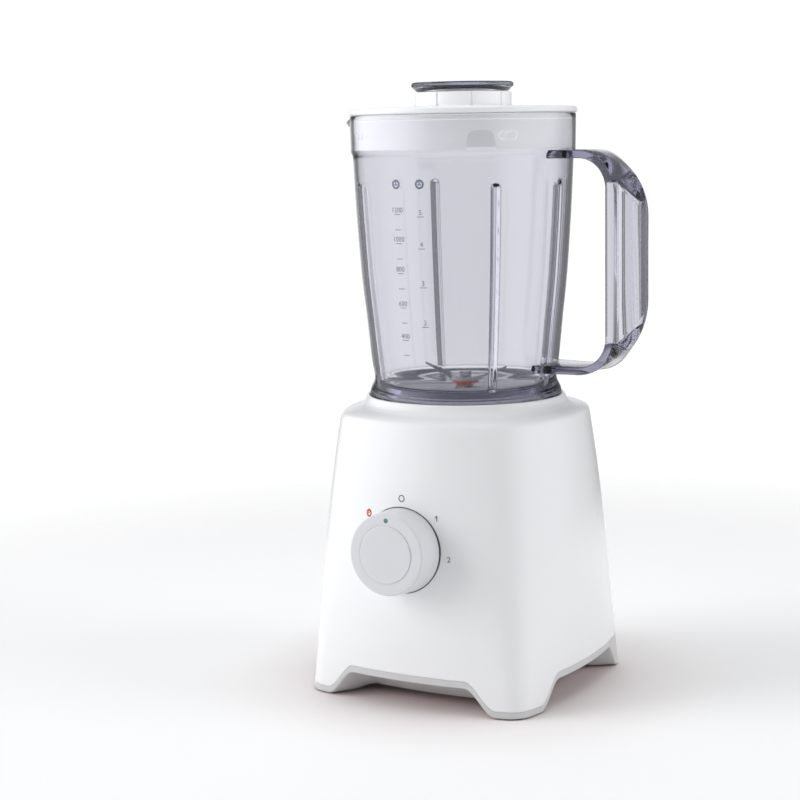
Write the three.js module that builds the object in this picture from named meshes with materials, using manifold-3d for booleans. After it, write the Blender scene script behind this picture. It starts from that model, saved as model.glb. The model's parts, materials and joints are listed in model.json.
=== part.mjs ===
// A countertop blender: a square, bowed motor base on four corner feet, a clear jug with a
// moulded handle, a white lid with a smoked filler cap, and a rotary speed knob on the front.
// Millimetres, +Z up. It is drawn with the motor's axis on Z and the table at Z 0, the knob
// facing -Y and the handle reaching along +X, and moved at the end so that the origin is the
// middle of its outline on the table.
import * as THREE from "three";
import { mergeVertices } from "three/addons/utils/BufferGeometryUtils.js";
import Module from "manifold-3d";

const wasm = await Module();
wasm.setup();

// ---------------------------------------------------------------- driving dimensions
// Radii are called r, heights above the table z, and profiles are lists of [r, z].
const GAP = 0.3; // clearance that keeps two touching pieces apart
const FACETS = { body: 40, base: 48, disc: 36, rotor: 32, small: 16, screw: 12 };
const FINEST = 0.05; // detail smaller than this is left out of a mesh
const CROWDING = 0.45; // how far the points round the square base crowd into its corners

// Motor base
const BASE_HALF = 84.4; // from the axis to the middle of a face, at the foot
const TOP_HALF_LOSS = 7.7; // how much that shrinks by the shoulder
const SHOULDER_Z = 174.5;
const CORNER_R = { foot: 16, shoulder: 39.6 };
const FACE_BOW = { foot: 1 / 330, shoulder: 1 / 108 }; // curvature of a face, seen from above
const WALL = 2.5;
const WALL_LEVELS = [60, 105, 140, 163];
const EDGE_Z = 5; // lower edge of the white housing at the feet
const ARCH_Z = 21.8; // and in the middle of each side
const ARCH = { flat: 40, end: 60 }; // distances along a face where the arch starts and stops falling
const SIDE_ARCH_Y = 5; // the side arches sit this far behind the middle

// The shoulder runs from the square outline (share 1) towards a circle (share 0).
const SHOULDER_CIRCLE_R = 67;
const SHOULDER = [[1, 174], [0.88, 177.4], [0.63, 179.3], [0.3, 180.9]]; // [share, z]
const SEAT = { z: 178, r: 61.9, undersideR: 58 };
const COLLAR = [[SHOULDER_CIRCLE_R, 182.4], [64.6, 185], [63.2, 188], [SEAT.r, 188]];
const DRIP_RING = { inner: 18, outer: 20.5, top: 180.4 }; // keeps spills out of the motor

// Grey plate that closes the base
const PLATE = { trim: 4.2, bottom: 4, top: 7, half: 58, cornerR: 13, lip: 10, footPad: 15, armPad: 8 };
const VENT = { count: 7, pitch: 11, width: 4, reach: 34, shorter: 4 };
const FOOT = { at: 68, r: 6, high: 1.7 };
const BASE_SCREW = { at: 50, headR: 3.9, r: 1.7, bottom: 4.1, neck: 5.3, end: 24, bossR: 4.2 };
const CORD = { z: 33, bushR: 6, boreR: 3.4, flangeR: 8.6, inside: 6 };

// Jug
const JUG_WALL = 2.6;
const JUG_TOP = 364.8;
const JUG_OUTSIDE = [
  [60.6, SEAT.z + GAP], [60.7, 186], [61.5, 189], [60.9, 192], [58.6, 197], [58.5, 201], [60, 210],
  [62.6, 236], [65.6, 265], [68.3, 305], [69.8, 337], [71.1, 342], [71.4, JUG_TOP],
];
const JUG_FOOT = [
  [46, 189.2], [50, 189.2], [50, 181], [52.6, 181], [52.6, 189.2], [56, 189.2], [58.2, 185],
  [58.2, SEAT.z + GAP],
];
const JUG_FLOOR = [[46, 193], [53.6, 193], [55.7, 197]];
const JUG_STEP = [[67.4, 340.5], [69.2, 341.8], [69.4, JUG_TOP]]; // wider inside, for the lid
const SPOUT = { reach: 15, halfAngle: 0.34, foot: 348, sharpness: 1.5, droop: 0.2 };
const RIB = { width: 5, depth: 3.6, from: 192.5, to: 322, angles: [0, 45, 135, 225, 315] };

// Handle
const ARM = { top: 342, bottom: 204.8, thick: 5, halfWidth: 19.5 };
const GRIP = { inside: 104.5, ridge: 125, ridgeRise: 0.4, halfWidth: 16, ridgeHalf: 4, wall: 3 };
const GRIP_CHANNEL = { from: 230, to: 317, ridgeHalf: 2 };
const BEND = { inside: 18, ridgeTop: 41, ridgeBottom: 47, steps: 7 };
const ARM_START = { top: 64, bottom: 54 }; // inside the jug's wall, which then trims them

// Lid and filler cap
const LID = {
  r: 72.25, rim: 2.8, bottom: JUG_TOP + GAP, top: 370, skirtR: 68.7, skirtWall: 2.2, skirtZ: 343.3,
};
const LID_DOME = [[71.3, 368.8], [60, 369.4], [46, 369.8]]; // from the rim towards the neck
const LID_NOTCH = { count: 4, first: 37, half: 9.6, high: 11.4 };
const SEAL = { inner: 67.7, outer: 69.1, z: 361.4, thick: 2.5 };
const NECK = { r: 31, bore: 28.8, top: 378.8 };
const GROOVE = { count: 9, first: 28, half: 0.8, deep: 0.9 };
const CAP = { r: 32.3, top: 385, bottom: 357, bodyR: 27.4, wall: 1.9, thick: 3 };

// Knob, measured along its own axis from the seat that it turns on
const KNOB = { x: -2.2, z: 99.9, r: 26.5, faceR: 25.3, deep: 21.8, recess: 2.7, play: 0.8, wall: 2.2 };
const KNOB_DISC = { r: 17.9, rise: 0.5 };
const KNOB_STEM = { r: 6, from: 4, socketEnd: 12 };
const MARKER = { r: 1.5, at: 20.7, thick: 0.4 };
const SPINDLE = { r: 3, from: -12 };
const SWITCH = { half: 17, front: -75.3, back: -58, bottom: 84, top: 117, bore: 4.2 };

// Blade unit
const HOLDER = [
  [49.6, 181.2], [49.6, 186], [45.5, 186], [45.5, 190.8], [43.6, 190.8], [43.6, 187.5],
  [12, 187.5], [9.5, 188.4], [7.2, 188.4], [7.2, 184.9], [43, 184.9], [43, 181.2],
];
const HOLDER_FIN = { count: 4, from: 25, to: 44, thick: 3, bottom: 180.6, top: 185.3 };
const HOLDER_SEAL = { outer: 49.3, inner: 46.2, bottom: 186.3, top: 188.9 };
const BUSH = { r: 6.9, bottom: 184.8, top: 188.2 };
const BLADE_SHAFT = { r: 3.5, bottom: 183.1, studR: 2.5, top: 200.2 };
const BLADE_COLLAR = [[4.2, 188.8], [5.6, 192.4]]; // cone on the shaft that carries the blades
const HUB = [[6.4, 194.2], [8.7, 196], [8.7, 197.5]];
const BLADE = { tipR: 28.8, thick: 1.2, width: 11, bendAt: 8 };
const LOWER_BLADE = { z: 192.7, tipZ: 189.6, angle: -70 };
const UPPER_BLADE = { z: 197.8, tipZ: 204.8, angle: 8 };
const NUT = { r: 4.2, bottom: 199.3, top: 201.4 };

// Dog couplings between the motor and the blades
const DOG = { count: 6, r: 12.5, coreR: 8, width: 4.2, play: 0.7, bottom: 178.9, top: 182.3 };
const DRIVE = { neckR: 7, bottom: 176 };
const DRIVEN = { r: 17, bottom: 178.7, top: 184.4 };

// Motor
const MOTOR_SHAFT = { r: 4, bottom: 16, top: 182 };
const STATOR = { half: 36, chamfer: 7, bore: 22.5, bottom: 62, top: 104 };
const COIL = { halfLong: 26.2, halfShort: 18, near: 23, far: 31.2, bottom: 54, top: 112 };
const BRACKET = { half: 48, thick: 4, hubR: 13, bearingR: 8, boltHole: 2.4 };
const UPPER_BRACKET = { z: 140, half: 40, hubBelow: 0, hubAbove: 10 };
const LOWER_BRACKET = { z: 40, half: 12, hubBelow: 3, hubAbove: 8 };
const BOLT = { x: 41.5, r: 2, bottom: 36, top: 146 };
const BEARING = { high: 11, upper: 139, lower: 37 };
const ISOLATOR = { at: 29.7, r: 6, bottom: 144.3, top: 152, postR: 5 };
const ARMATURE = { r: 21.6, bottom: 64, top: 102 };
const WINDING = { r: 18.5, inner: 7, upper: [102.3, 110], lower: [55, 63.7] };
const COMMUTATOR = { r: 11, bottom: 112, top: 126 };
const BRUSH = { tip: 11.4, back: 27, half: 3.3, bottom: 114.7, top: 123.3 };
const BRUSH_HOLDER = { near: 14, far: 34, half: 6, bottom: 112, top: 126, stemFrom: 28 };
const FAN = { r: 34, disc: 1.6, hubR: 8, blades: 8, bladeR: 33, bottom: 20, top: 33, bladeTop: 31 };
const CAPACITOR = { size: [18, 8, 15], at: [-44, 26, 14.8] };

// ---------------------------------------------------------------- materials
const plastic = (color, roughness, extra = {}) =>
  new THREE.MeshStandardMaterial({ color, roughness, metalness: 0, ...extra });
const metal = (color, roughness) =>
  new THREE.MeshStandardMaterial({ color, roughness, metalness: 1 });

const white = plastic(0xf1f2f4, 0.25);
const trimGrey = plastic(0xb9bbbb, 0.5);
const knobGrey = plastic(0xc6c7ca, 0.4);
const darkGrey = plastic(0x4a4d50, 0.55);
const black = plastic(0x222426, 0.7);
const clear = plastic(0xdcdff0, 0.06, { transparent: true, opacity: 0.35 });
const smoke = plastic(0x5b6a7c, 0.1, { transparent: true, opacity: 0.75 });
const red = plastic(0xd2232a, 0.35);
const blueGrey = plastic(0x5b7480, 0.5);
const silicone = plastic(0xe6e6e2, 0.6);
const rubber = plastic(0x2c2c2e, 0.9);
const steel = metal(0xc8cacc, 0.3);
const lamination = metal(0x6d6f72, 0.55);
const copper = metal(0xb06a3a, 0.4);
const bronze = metal(0xa98a55, 0.5);

// ---------------------------------------------------------------- solids
// A closed geometry as a manifold-3d solid, with its faces turned out.
function solidOf(geometry) {
  geometry.deleteAttribute("normal");
  geometry.deleteAttribute("uv");
  const merged = mergeVertices(geometry, 1e-4);
  const index = merged.index.array;
  const kept = [];
  for (let i = 0; i < index.length; i += 3) {
    const [a, b, c] = [index[i], index[i + 1], index[i + 2]];
    if (a !== b && b !== c && a !== c) kept.push(a, b, c);
  }
  const build = (triVerts) =>
    new wasm.Manifold(
      new wasm.Mesh({ numProp: 3, vertProperties: merged.attributes.position.array, triVerts }),
    );
  const made = build(new Uint32Array(kept));
  return made.volume() > 0 ? made : build(new Uint32Array(kept.reverse()));
}

// A solid back as a geometry that three.js can show.
function geometryOf(solid) {
  const { vertProperties, triVerts } = solid.simplify(FINEST).getMesh();
  const geometry = new THREE.BufferGeometry();
  geometry.setAttribute("position", new THREE.BufferAttribute(vertProperties, 3));
  geometry.setIndex(new THREE.BufferAttribute(triVerts, 1));
  geometry.computeVertexNormals();
  return geometry;
}

// A solid of revolution about Z from [radius, z] pairs that close on themselves or on the axis.
function turned(profile, facets = FACETS.body) {
  const points = profile.map(([r, z]) => new THREE.Vector2(r, z));
  if (profile[0][0] > 0) points.push(points[0].clone());
  return solidOf(new THREE.LatheGeometry(points, facets).rotateX(Math.PI / 2));
}

const rod = (r, z0, z1, facets = FACETS.small) =>
  turned([[0, z0], [r, z0], [r, z1], [0, z1]], facets);

const tube = (outer, inner, z0, z1, facets = FACETS.small) =>
  turned([[inner, z0], [outer, z0], [outer, z1], [inner, z1]], facets);

// A box from its lowest corner to its highest.
function box(low, high) {
  const size = high.map((v, i) => v - low[i]);
  const geometry = new THREE.BoxGeometry(...size);
  return solidOf(geometry.translate(...low.map((v, i) => v + size[i] / 2)));
}

const turnedAbout = (solid, degrees) => solid.rotate([0, 0, degrees]);
const moved = (solid, x, y, z = 0) => solid.translate([x, y, z]);

// Copies of a solid set out evenly about Z.
const around = (solid, count, first = 0) =>
  Array.from({ length: count }, (_, k) => turnedAbout(solid, first + (k * 360) / count));

const joined = (first, others) => others.reduce((whole, other) => whole.add(other), first);
const cut = (first, others) => others.reduce((whole, other) => whole.subtract(other), first);

const SIDES = [-1, 1];
const CORNERS = SIDES.flatMap((x) => SIDES.map((y) => [x, y]));
const atCorners = (solid, distance) =>
  CORNERS.map(([x, y]) => moved(solid, x * distance, y * distance));

// The outline points extruded along Z.
function prism(points, z0, z1) {
  const shape = new THREE.Shape(points.map(([x, y]) => new THREE.Vector2(x, y)));
  const geometry = new THREE.ExtrudeGeometry(shape, { depth: z1 - z0, bevelEnabled: false });
  return solidOf(geometry.translate(0, 0, z0));
}

// A skin over rings of points. The last ring joins the first one, or each end is closed by a fan.
function skinned(rings, loop) {
  const count = rings[0].length;
  const position = rings.flat(2);
  const index = [];
  const last = loop ? rings.length : rings.length - 1;
  for (let k = 0; k < last; k++)
    for (let i = 0; i < count; i++) {
      const next = (k + 1) % rings.length;
      const j = (i + 1) % count;
      const [a, b] = [k * count + i, k * count + j];
      const [c, d] = [next * count + i, next * count + j];
      index.push(a, b, d, a, d, c);
    }
  if (!loop)
    for (const k of [0, rings.length - 1]) {
      const centre = position.length / 3;
      const mean = [0, 1, 2].map((n) => rings[k].reduce((sum, p) => sum + p[n], 0) / count);
      position.push(...mean);
      for (let i = 0; i < count; i++) {
        const [a, b] = [k * count + i, k * count + ((i + 1) % count)];
        index.push(...(k ? [centre, a, b] : [centre, b, a]));
      }
    }
  const geometry = new THREE.BufferGeometry();
  geometry.setAttribute("position", new THREE.Float32BufferAttribute(position, 3));
  geometry.setIndex(index);
  return solidOf(geometry);
}

const mix = (a, b, t) => a + (b - a) * t;
const smooth = (low, high, v) => THREE.MathUtils.smoothstep(v, low, high);

// A ring of points about Z: radius and height may depend on the angle. The points crowd together
// by the share given at the four corners, and spread out between them.
function ring(radiusAt, zAt, facets = FACETS.body, crowding = 0) {
  return Array.from({ length: facets }, (_, i) => {
    const even = (i / facets) * 2 * Math.PI;
    const t = even + (crowding / 4) * Math.sin(4 * even);
    const r = radiusAt(t);
    const z = typeof zAt === "function" ? zAt(t) : zAt;
    return [r * Math.cos(t), r * Math.sin(t), z];
  });
}

// ---------------------------------------------------------------- the base's outline
// Distance from the axis to a rounded square with bowed faces, in the direction t.
function squareRadius(t, half, faceR, cornerR) {
  const quarter = Math.PI / 2;
  const folded = Math.abs(THREE.MathUtils.euclideanModulo(t + quarter / 2, quarter) - quarter / 2);
  const back = faceR - half;
  const reach = faceR - cornerR;
  const corner = (-2 * back + Math.sqrt(8 * reach * reach - 4 * back * back)) / 4;
  const join = Math.atan2(corner, corner + back);
  const joinAngle = Math.atan2(faceR * Math.sin(join), faceR * Math.cos(join) - back);
  if (folded < joinAngle)
    return -back * Math.cos(folded) + Math.sqrt(faceR ** 2 - (back * Math.sin(folded)) ** 2);
  const along = corner * (Math.cos(folded) + Math.sin(folded));
  return along + Math.sqrt(cornerR ** 2 - (2 * corner ** 2 - along ** 2));
}

const halfAt = (z) => BASE_HALF - TOP_HALF_LOSS * (z / SHOULDER_Z) ** 3;

// The housing's outer surface at height z, moved inwards by inset.
function bodyRadius(t, z, inset = 0) {
  const up = z / SHOULDER_Z;
  const faceR = 1 / mix(FACE_BOW.foot, FACE_BOW.shoulder, up);
  const cornerR = mix(CORNER_R.foot, CORNER_R.shoulder, up);
  return squareRadius(t, halfAt(z) - inset, faceR - inset, cornerR - inset);
}

// 1 in the middle of a side, 0 at a foot.
function archShare(t) {
  const r = bodyRadius(t, 0);
  const [x, y] = [r * Math.cos(t), r * Math.sin(t)];
  const along = Math.abs(x) > Math.abs(y) ? Math.abs(y - SIDE_ARCH_Y) : Math.abs(x);
  return 1 - smooth(ARCH.flat, ARCH.end, along);
}

// The housing comes down to the front feet only: the rear feet belong to the plate.
const edgeHeight = (t) => mix(EDGE_Z, ARCH_Z, Math.sin(t) > 0 ? 1 : archShare(t));

const baseRing = (radiusAt, zAt) => ring(radiusAt, zAt, FACETS.base, CROWDING);

// ---------------------------------------------------------------- motor base
const knobTilt = Math.atan((3 * TOP_HALF_LOSS * KNOB.z ** 2) / SHOULDER_Z ** 3);
const knobSeat = halfAt(KNOB.z) - KNOB.recess; // distance of the knob's seat from the axis

// Stands a solid drawn along +Z on the knob's axis, its z 0 on the knob's seat.
const onKnobAxis = (solid) =>
  moved(solid.rotate([90 - THREE.MathUtils.radToDeg(knobTilt), 0, 0]), KNOB.x, -knobSeat, KNOB.z);

function housingShell() {
  const wall = (inset) => WALL_LEVELS.map((z) => baseRing((t) => bodyRadius(t, z, inset), z));
  const edge = (inset) => baseRing((t) => bodyRadius(t, edgeHeight(t), inset), edgeHeight);
  const shoulder = SHOULDER.map(([share, z]) =>
    baseRing((t) => mix(SHOULDER_CIRCLE_R, bodyRadius(t, SHOULDER_Z), share), z),
  );
  const round = (profile) => profile.map(([r, z]) => baseRing(() => r, z));
  const { inner, outer, top } = DRIP_RING;
  const seat = [
    [SEAT.r, SEAT.z], [outer, SEAT.z], [outer, top], [inner, top], [inner, SEAT.z - WALL],
    [SEAT.undersideR, SEAT.z - WALL],
  ];
  const ceilingZ = SHOULDER_Z - WALL;
  const ceiling = baseRing((t) => bodyRadius(t, ceilingZ, 2 * WALL), ceilingZ);
  return skinned(
    [
      edge(0), ...wall(0), ...shoulder, ...round(COLLAR), ...round(seat), ceiling,
      ...wall(WALL).reverse(), edge(WALL),
    ],
    true,
  );
}

function housing() {
  const boss = rod(BASE_SCREW.bossR, PLATE.top + GAP, SEAT.z - WALL + 1, FACETS.screw).subtract(
    rod(BASE_SCREW.r + GAP, PLATE.top, BASE_SCREW.end + 2, FACETS.screw),
  );
  const post = rod(ISOLATOR.postR, ISOLATOR.top + GAP, SEAT.z - 1, FACETS.screw);
  const seatR = KNOB.r + KNOB.play;
  const body = joined(housingShell(), [
    ...atCorners(boss, BASE_SCREW.at),
    ...atCorners(post, ISOLATOR.at),
    onKnobAxis(rod(seatR + 1, -WALL, 0, FACETS.disc)),
  ]);
  const cordHole = rod(CORD.bushR + GAP, -2 * CORD.inside, 2 * CORD.inside).rotate([90, 0, 0]);
  return cut(body, [
    onKnobAxis(rod(seatR, 0, KNOB.deep / 2, FACETS.disc)),
    onKnobAxis(rod(SPINDLE.r + 1.5, 2 * -WALL, 1)),
    moved(cordHole, 0, BASE_HALF, CORD.z),
  ]);
}

// A dished plate whose edge rises under the arches and comes down to the table at the corners.
function basePlate() {
  const { trim, bottom, top, half, cornerR, lip, footPad, armPad } = PLATE;
  const edgeTop = (t) => edgeHeight(t) - GAP;
  const edgeBottom = (t) => mix(EDGE_Z, ARCH_Z - GAP, archShare(t)) - trim;
  const rim = (insetAt, zAt) => baseRing((t) => bodyRadius(t, zAt(t), insetAt(t)), zAt);
  const dish = (size, z) => baseRing((t) => squareRadius(t, size, 1 / FACE_BOW.foot, cornerR), z);
  const plate = skinned(
    [
      dish(half / 2, bottom),
      dish(half, bottom),
      rim((t) => mix(footPad, armPad, archShare(t)), edgeBottom),
      rim(() => GAP, edgeBottom),
      rim(() => GAP, edgeTop),
      rim(() => lip, edgeTop),
      dish(half + 2, top),
      dish(half / 2, top),
    ],
    false,
  );
  const vents = Array.from({ length: VENT.count }, (_, k) => {
    const step = k - (VENT.count - 1) / 2;
    const reach = VENT.reach - VENT.shorter * Math.abs(step);
    const x = step * VENT.pitch;
    return box([x - VENT.width / 2, -reach, bottom - 1], [x + VENT.width / 2, reach, top + 1]);
  });
  const { headR, r, neck } = BASE_SCREW;
  const screwHole = rod(headR + GAP, bottom - 1, neck + GAP).add(rod(r + 0.5, neck, top + 1));
  const pocket = rod(FOOT.r + GAP, -1, FOOT.high + GAP);
  return cut(plate, [
    ...vents, ...atCorners(screwHole, BASE_SCREW.at), ...atCorners(pocket, FOOT.at),
  ]);
}

function baseScrew() {
  const { headR, r, bottom, neck, end } = BASE_SCREW;
  return rod(headR, bottom, neck).add(rod(r, bottom, end, FACETS.screw));
}

// The rubber bush that the cord comes out through, at the back.
function cordGland() {
  const { inside, bushR, boreR, flangeR, z } = CORD;
  const face = WALL + GAP;
  const bush = turned([
    [boreR, -inside], [bushR, -inside], [bushR, face], [flangeR, face], [flangeR - 0.6, face + 2],
    [boreR + 0.4, face + 2],
  ], FACETS.small);
  return moved(bush.rotate([-90, 0, 0]), 0, halfAt(z) - WALL, z);
}

function rotarySwitch() {
  const { half, front, back, bottom, top, bore } = SWITCH;
  const hole = rod(bore, back, -front).rotate([90, 0, 0]);
  const through = rod(bore, -half, half).rotate([90, 0, 0]);
  const body = box([-half, front, bottom], [half, back, top]);
  return cut(body, [
    moved(hole, KNOB.x, 0, KNOB.z), moved(through, 0, (front + back) / 2, KNOB.z),
  ]);
}

// ---------------------------------------------------------------- motor
function stator() {
  const { half, bore, bottom, top, chamfer } = STATOR;
  const c = half - chamfer;
  const outline = [
    [half, c], [c, half], [-c, half], [-half, c], [-half, -c], [-c, -half], [c, -half], [half, -c],
  ];
  const core = prism(outline, bottom, top);
  const slot = box(
    [COIL.halfShort - GAP, COIL.near - GAP, bottom - 1],
    [COIL.halfLong + GAP + 0.1, COIL.far + GAP + 0.1, top + 1],
  );
  const slots = CORNERS.map(([x, y]) => slot.scale([x, y, 1]));
  return cut(core, [rod(bore, bottom - 1, top + 1, FACETS.rotor), ...slots]);
}

// One field winding, a rectangular loop round a pole of the stator, at the rear.
function fieldCoil() {
  const { halfLong, halfShort, near, far, bottom, top } = COIL;
  const space = 2 * GAP;
  const pole = box(
    [-halfShort, near - 1, STATOR.bottom - space],
    [halfShort, far + 1, STATOR.top + space],
  );
  return box([-halfLong, near, bottom], [halfLong, far, top]).subtract(pole);
}

// A pressed cross plate with a bearing housing in the middle and a bolt hole at each end.
function bracket({ z, half, hubBelow, hubAbove }) {
  const plate = box([-BRACKET.half, -half, z], [BRACKET.half, half, z + BRACKET.thick]);
  const hub = rod(BRACKET.hubR, z - hubBelow, z + hubAbove);
  const bolt = rod(BRACKET.boltHole, z - 1, z + BRACKET.thick + 1, FACETS.screw);
  const bore = rod(BRACKET.bearingR + GAP, z - hubBelow - 1, z + hubAbove + 1);
  return cut(plate.add(hub), [bore, ...SIDES.map((x) => moved(bolt, x * BOLT.x, 0))]);
}

// A brush holder, on the right, hangs from the upper bracket and points at the commutator.
function brushHolder() {
  const { near, far, half, bottom, top, stemFrom } = BRUSH_HOLDER;
  const stem = box([stemFrom, -half, top - 1], [far, half, UPPER_BRACKET.z - GAP]);
  const slide = box(
    [near - 1, -BRUSH.half - GAP, BRUSH.bottom - GAP],
    [far + 1, BRUSH.half + GAP, BRUSH.top + GAP],
  );
  return box([near, -half, bottom], [far, half, top]).add(stem).subtract(slide);
}

const carbonBrush = () =>
  box([BRUSH.tip, -BRUSH.half, BRUSH.bottom], [BRUSH.back, BRUSH.half, BRUSH.top]);

function coolingFan() {
  const { r, disc, hubR, blades, bladeR, bottom, top, bladeTop } = FAN;
  const bore = MOTOR_SHAFT.r + GAP;
  const plate = tube(r, bore, bottom, bottom + disc, FACETS.rotor);
  const blade = box([hubR - 1, -disc / 2, bottom + 1], [bladeR, disc / 2, bladeTop]);
  return joined(plate.add(tube(hubR, bore, bottom, top)), around(blade, blades));
}

// ---------------------------------------------------------------- couplings and blades
// The star of dogs on a core, all of it grown by play.
function dogStar(play, bottom, top) {
  const half = DOG.width / 2 + play;
  const dog = box([0, -half, bottom], [DOG.r + play, half, top]);
  return joined(rod(DOG.coreR + play, bottom, top), around(dog, DOG.count));
}

function driveCoupling() {
  const neck = rod(DRIVE.neckR, DRIVE.bottom, DOG.bottom + 1);
  const bore = rod(MOTOR_SHAFT.r + GAP, DRIVE.bottom - 1, DOG.top + 1);
  return neck.add(dogStar(0, DOG.bottom, DOG.top)).subtract(bore);
}

function drivenCoupling() {
  const { r, bottom, top } = DRIVEN;
  return cut(rod(r, bottom, top, FACETS.rotor), [
    dogStar(DOG.play, bottom - 1, DOG.top + 2 * GAP),
    rod(BLADE_SHAFT.r + GAP, bottom, top + 1),
  ]);
}

function bladeHolder() {
  const { count, from, to, thick, bottom, top } = HOLDER_FIN;
  const fin = box([from, -thick / 2, bottom], [to, thick / 2, top]);
  return joined(turned(HOLDER), around(fin, count, 45));
}

function bladeShaft() {
  const { r, bottom, studR, top } = BLADE_SHAFT;
  const [low, high] = [BLADE_COLLAR[0][1], BLADE_COLLAR.at(-1)[1]];
  return turned([
    [0, bottom], [r, bottom], [r, low], ...BLADE_COLLAR, [studR, high], [studR, top], [0, top],
  ], FACETS.small);
}

const bladeHub = () => {
  const bore = BLADE_SHAFT.studR + GAP;
  return turned([[bore, HUB[0][1]], ...HUB, [bore, HUB.at(-1)[1]]], FACETS.rotor);
};

// Two opposite wings cut from one strip: flat at the hub, then bent so that the tips reach tipZ.
function blade({ z, tipZ, angle }) {
  const { tipR, thick, width, bendAt } = BLADE;
  const right = [[bendAt, z], [tipR, tipZ]];
  const under = [...right.map(([x, h]) => [-x, h]).reverse(), ...right];
  const over = under.map(([x, h]) => [x, h + thick]).reverse();
  const strip = prism([...under, ...over], -width / 2, width / 2).rotate([90, 0, 0]);
  const w = width / 2;
  const wing = [
    [0, w], [0.42 * tipR, w], [0.76 * tipR, 0.6 * w], [tipR + 1, -0.3 * w],
    [tipR - 1, -0.8 * w], [0.42 * tipR, -w],
  ];
  const plan = [...wing, ...wing.map(([x, y]) => [-x, -y])];
  const [low, high] = [Math.min(z, tipZ) - 1, Math.max(z, tipZ) + thick + 1];
  const bore = rod(BLADE_SHAFT.studR + GAP, low, high);
  return turnedAbout(strip.intersect(prism(plan, low, high)).subtract(bore), angle);
}

function bladeNut() {
  const { r, bottom, top } = NUT;
  const bore = rod(BLADE_SHAFT.studR + GAP, bottom - 1, BLADE_SHAFT.top + GAP);
  return rod(r, bottom, top, 6).subtract(bore);
}

// ---------------------------------------------------------------- jug
// How far the pouring lip pushes the wall out.
function spoutReach(t, z) {
  const off = Math.abs(THREE.MathUtils.euclideanModulo(t, 2 * Math.PI) - Math.PI);
  const share = Math.max(0, 1 - off / SPOUT.halfAngle);
  return SPOUT.reach * share ** SPOUT.sharpness * smooth(SPOUT.foot, JUG_TOP, z);
}

const jugWallInside = JUG_OUTSIDE.map(([r, z]) => [r - JUG_WALL, z]).filter(
  ([, z]) => z > JUG_FLOOR.at(-1)[1] && z < JUG_STEP[0][1],
);

// A mixing rib that stands inwards from the wall, drawn at angle 0.
function jugRib() {
  const { depth, width, from, to } = RIB;
  const wall = jugWallInside.filter(([, z]) => z < to);
  const [first, last] = [wall[0][0], wall.at(-1)[0]];
  const crest = [[first - depth, from], ...wall.map(([r, z]) => [r - depth, z])];
  const root = [[last + 1, to], ...wall.map(([r, z]) => [r + 1, z]).reverse(), [first + 1, from]];
  return prism([...crest, ...root], -width / 2, width / 2).rotate([90, 0, 0]);
}

function jug() {
  const inside = [...JUG_FLOOR, ...jugWallInside, ...JUG_STEP].reverse();
  const rings = [...JUG_FOOT, ...JUG_OUTSIDE, ...inside].map(([r, z]) =>
    ring((t) => r + spoutReach(t, z), (t) => z - SPOUT.droop * spoutReach(t, z)),
  );
  const rib = jugRib();
  return joined(skinned(rings, true), RIB.angles.map((angle) => turnedAbout(rib, angle)));
}

// One of the handle's long lines in the X-Z plane: along the top arm, round a bend, down the grip,
// round a bend, and back along the bottom arm.
function handleLine(x, top, bottom, topBend, bottomBend) {
  const arc = (bend, centreZ, from) =>
    Array.from({ length: BEND.steps + 1 }, (_, i) => {
      const a = from - ((Math.PI / 2) * i) / BEND.steps;
      return [x - bend + bend * Math.cos(a), centreZ + bend * Math.sin(a)];
    });
  return [
    [ARM_START.top, top], ...arc(topBend, top - topBend, Math.PI / 2),
    ...arc(bottomBend, bottom + bottomBend, 0), [ARM_START.bottom, bottom],
  ];
}

// A strap whose outside rises to a narrow ridge along the grip, which is hollow from the inside.
function jugHandle() {
  const { top, bottom, thick } = ARM;
  const { ridgeRise, ridgeHalf, wall } = GRIP;
  const [bend, outerBend] = [BEND.inside, BEND.inside + thick];
  const inside = handleLine(GRIP.inside, top - thick, bottom + thick, bend, bend);
  const strap = handleLine(GRIP.inside + thick, top, bottom, outerBend, outerBend);
  const [ridgeTop, ridgeBottom] = [top + ridgeRise, bottom - ridgeRise];
  const ridge = handleLine(GRIP.ridge, ridgeTop, ridgeBottom, BEND.ridgeTop, BEND.ridgeBottom);
  const rings = inside.map((inner, i) => {
    const atJug = i === 0 || i === inside.length - 1;
    const w = atJug ? ARM.halfWidth : GRIP.halfWidth;
    const at = ([x, z], y) => [x, y, z];
    return [
      at(inner, -w), at(inner, w), at(strap[i], w), at(ridge[i], ridgeHalf),
      at(ridge[i], -ridgeHalf), at(strap[i], -w),
    ];
  });
  const half = GRIP.halfWidth - wall;
  const rightHalf = [
    [GRIP.ridge - wall, GRIP_CHANNEL.ridgeHalf], [GRIP.inside + thick, half], [GRIP.inside - 1, half],
  ];
  const channel = [...rightHalf, ...rightHalf.map(([x, y]) => [x, -y]).reverse()];
  const jugSpace = turned([
    [0, SEAT.z], ...JUG_OUTSIDE.map(([r, z]) => [r + GAP, z]), [0, JUG_TOP],
  ]);
  return cut(skinned(rings, false), [prism(channel, GRIP_CHANNEL.from, GRIP_CHANNEL.to), jugSpace]);
}

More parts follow.
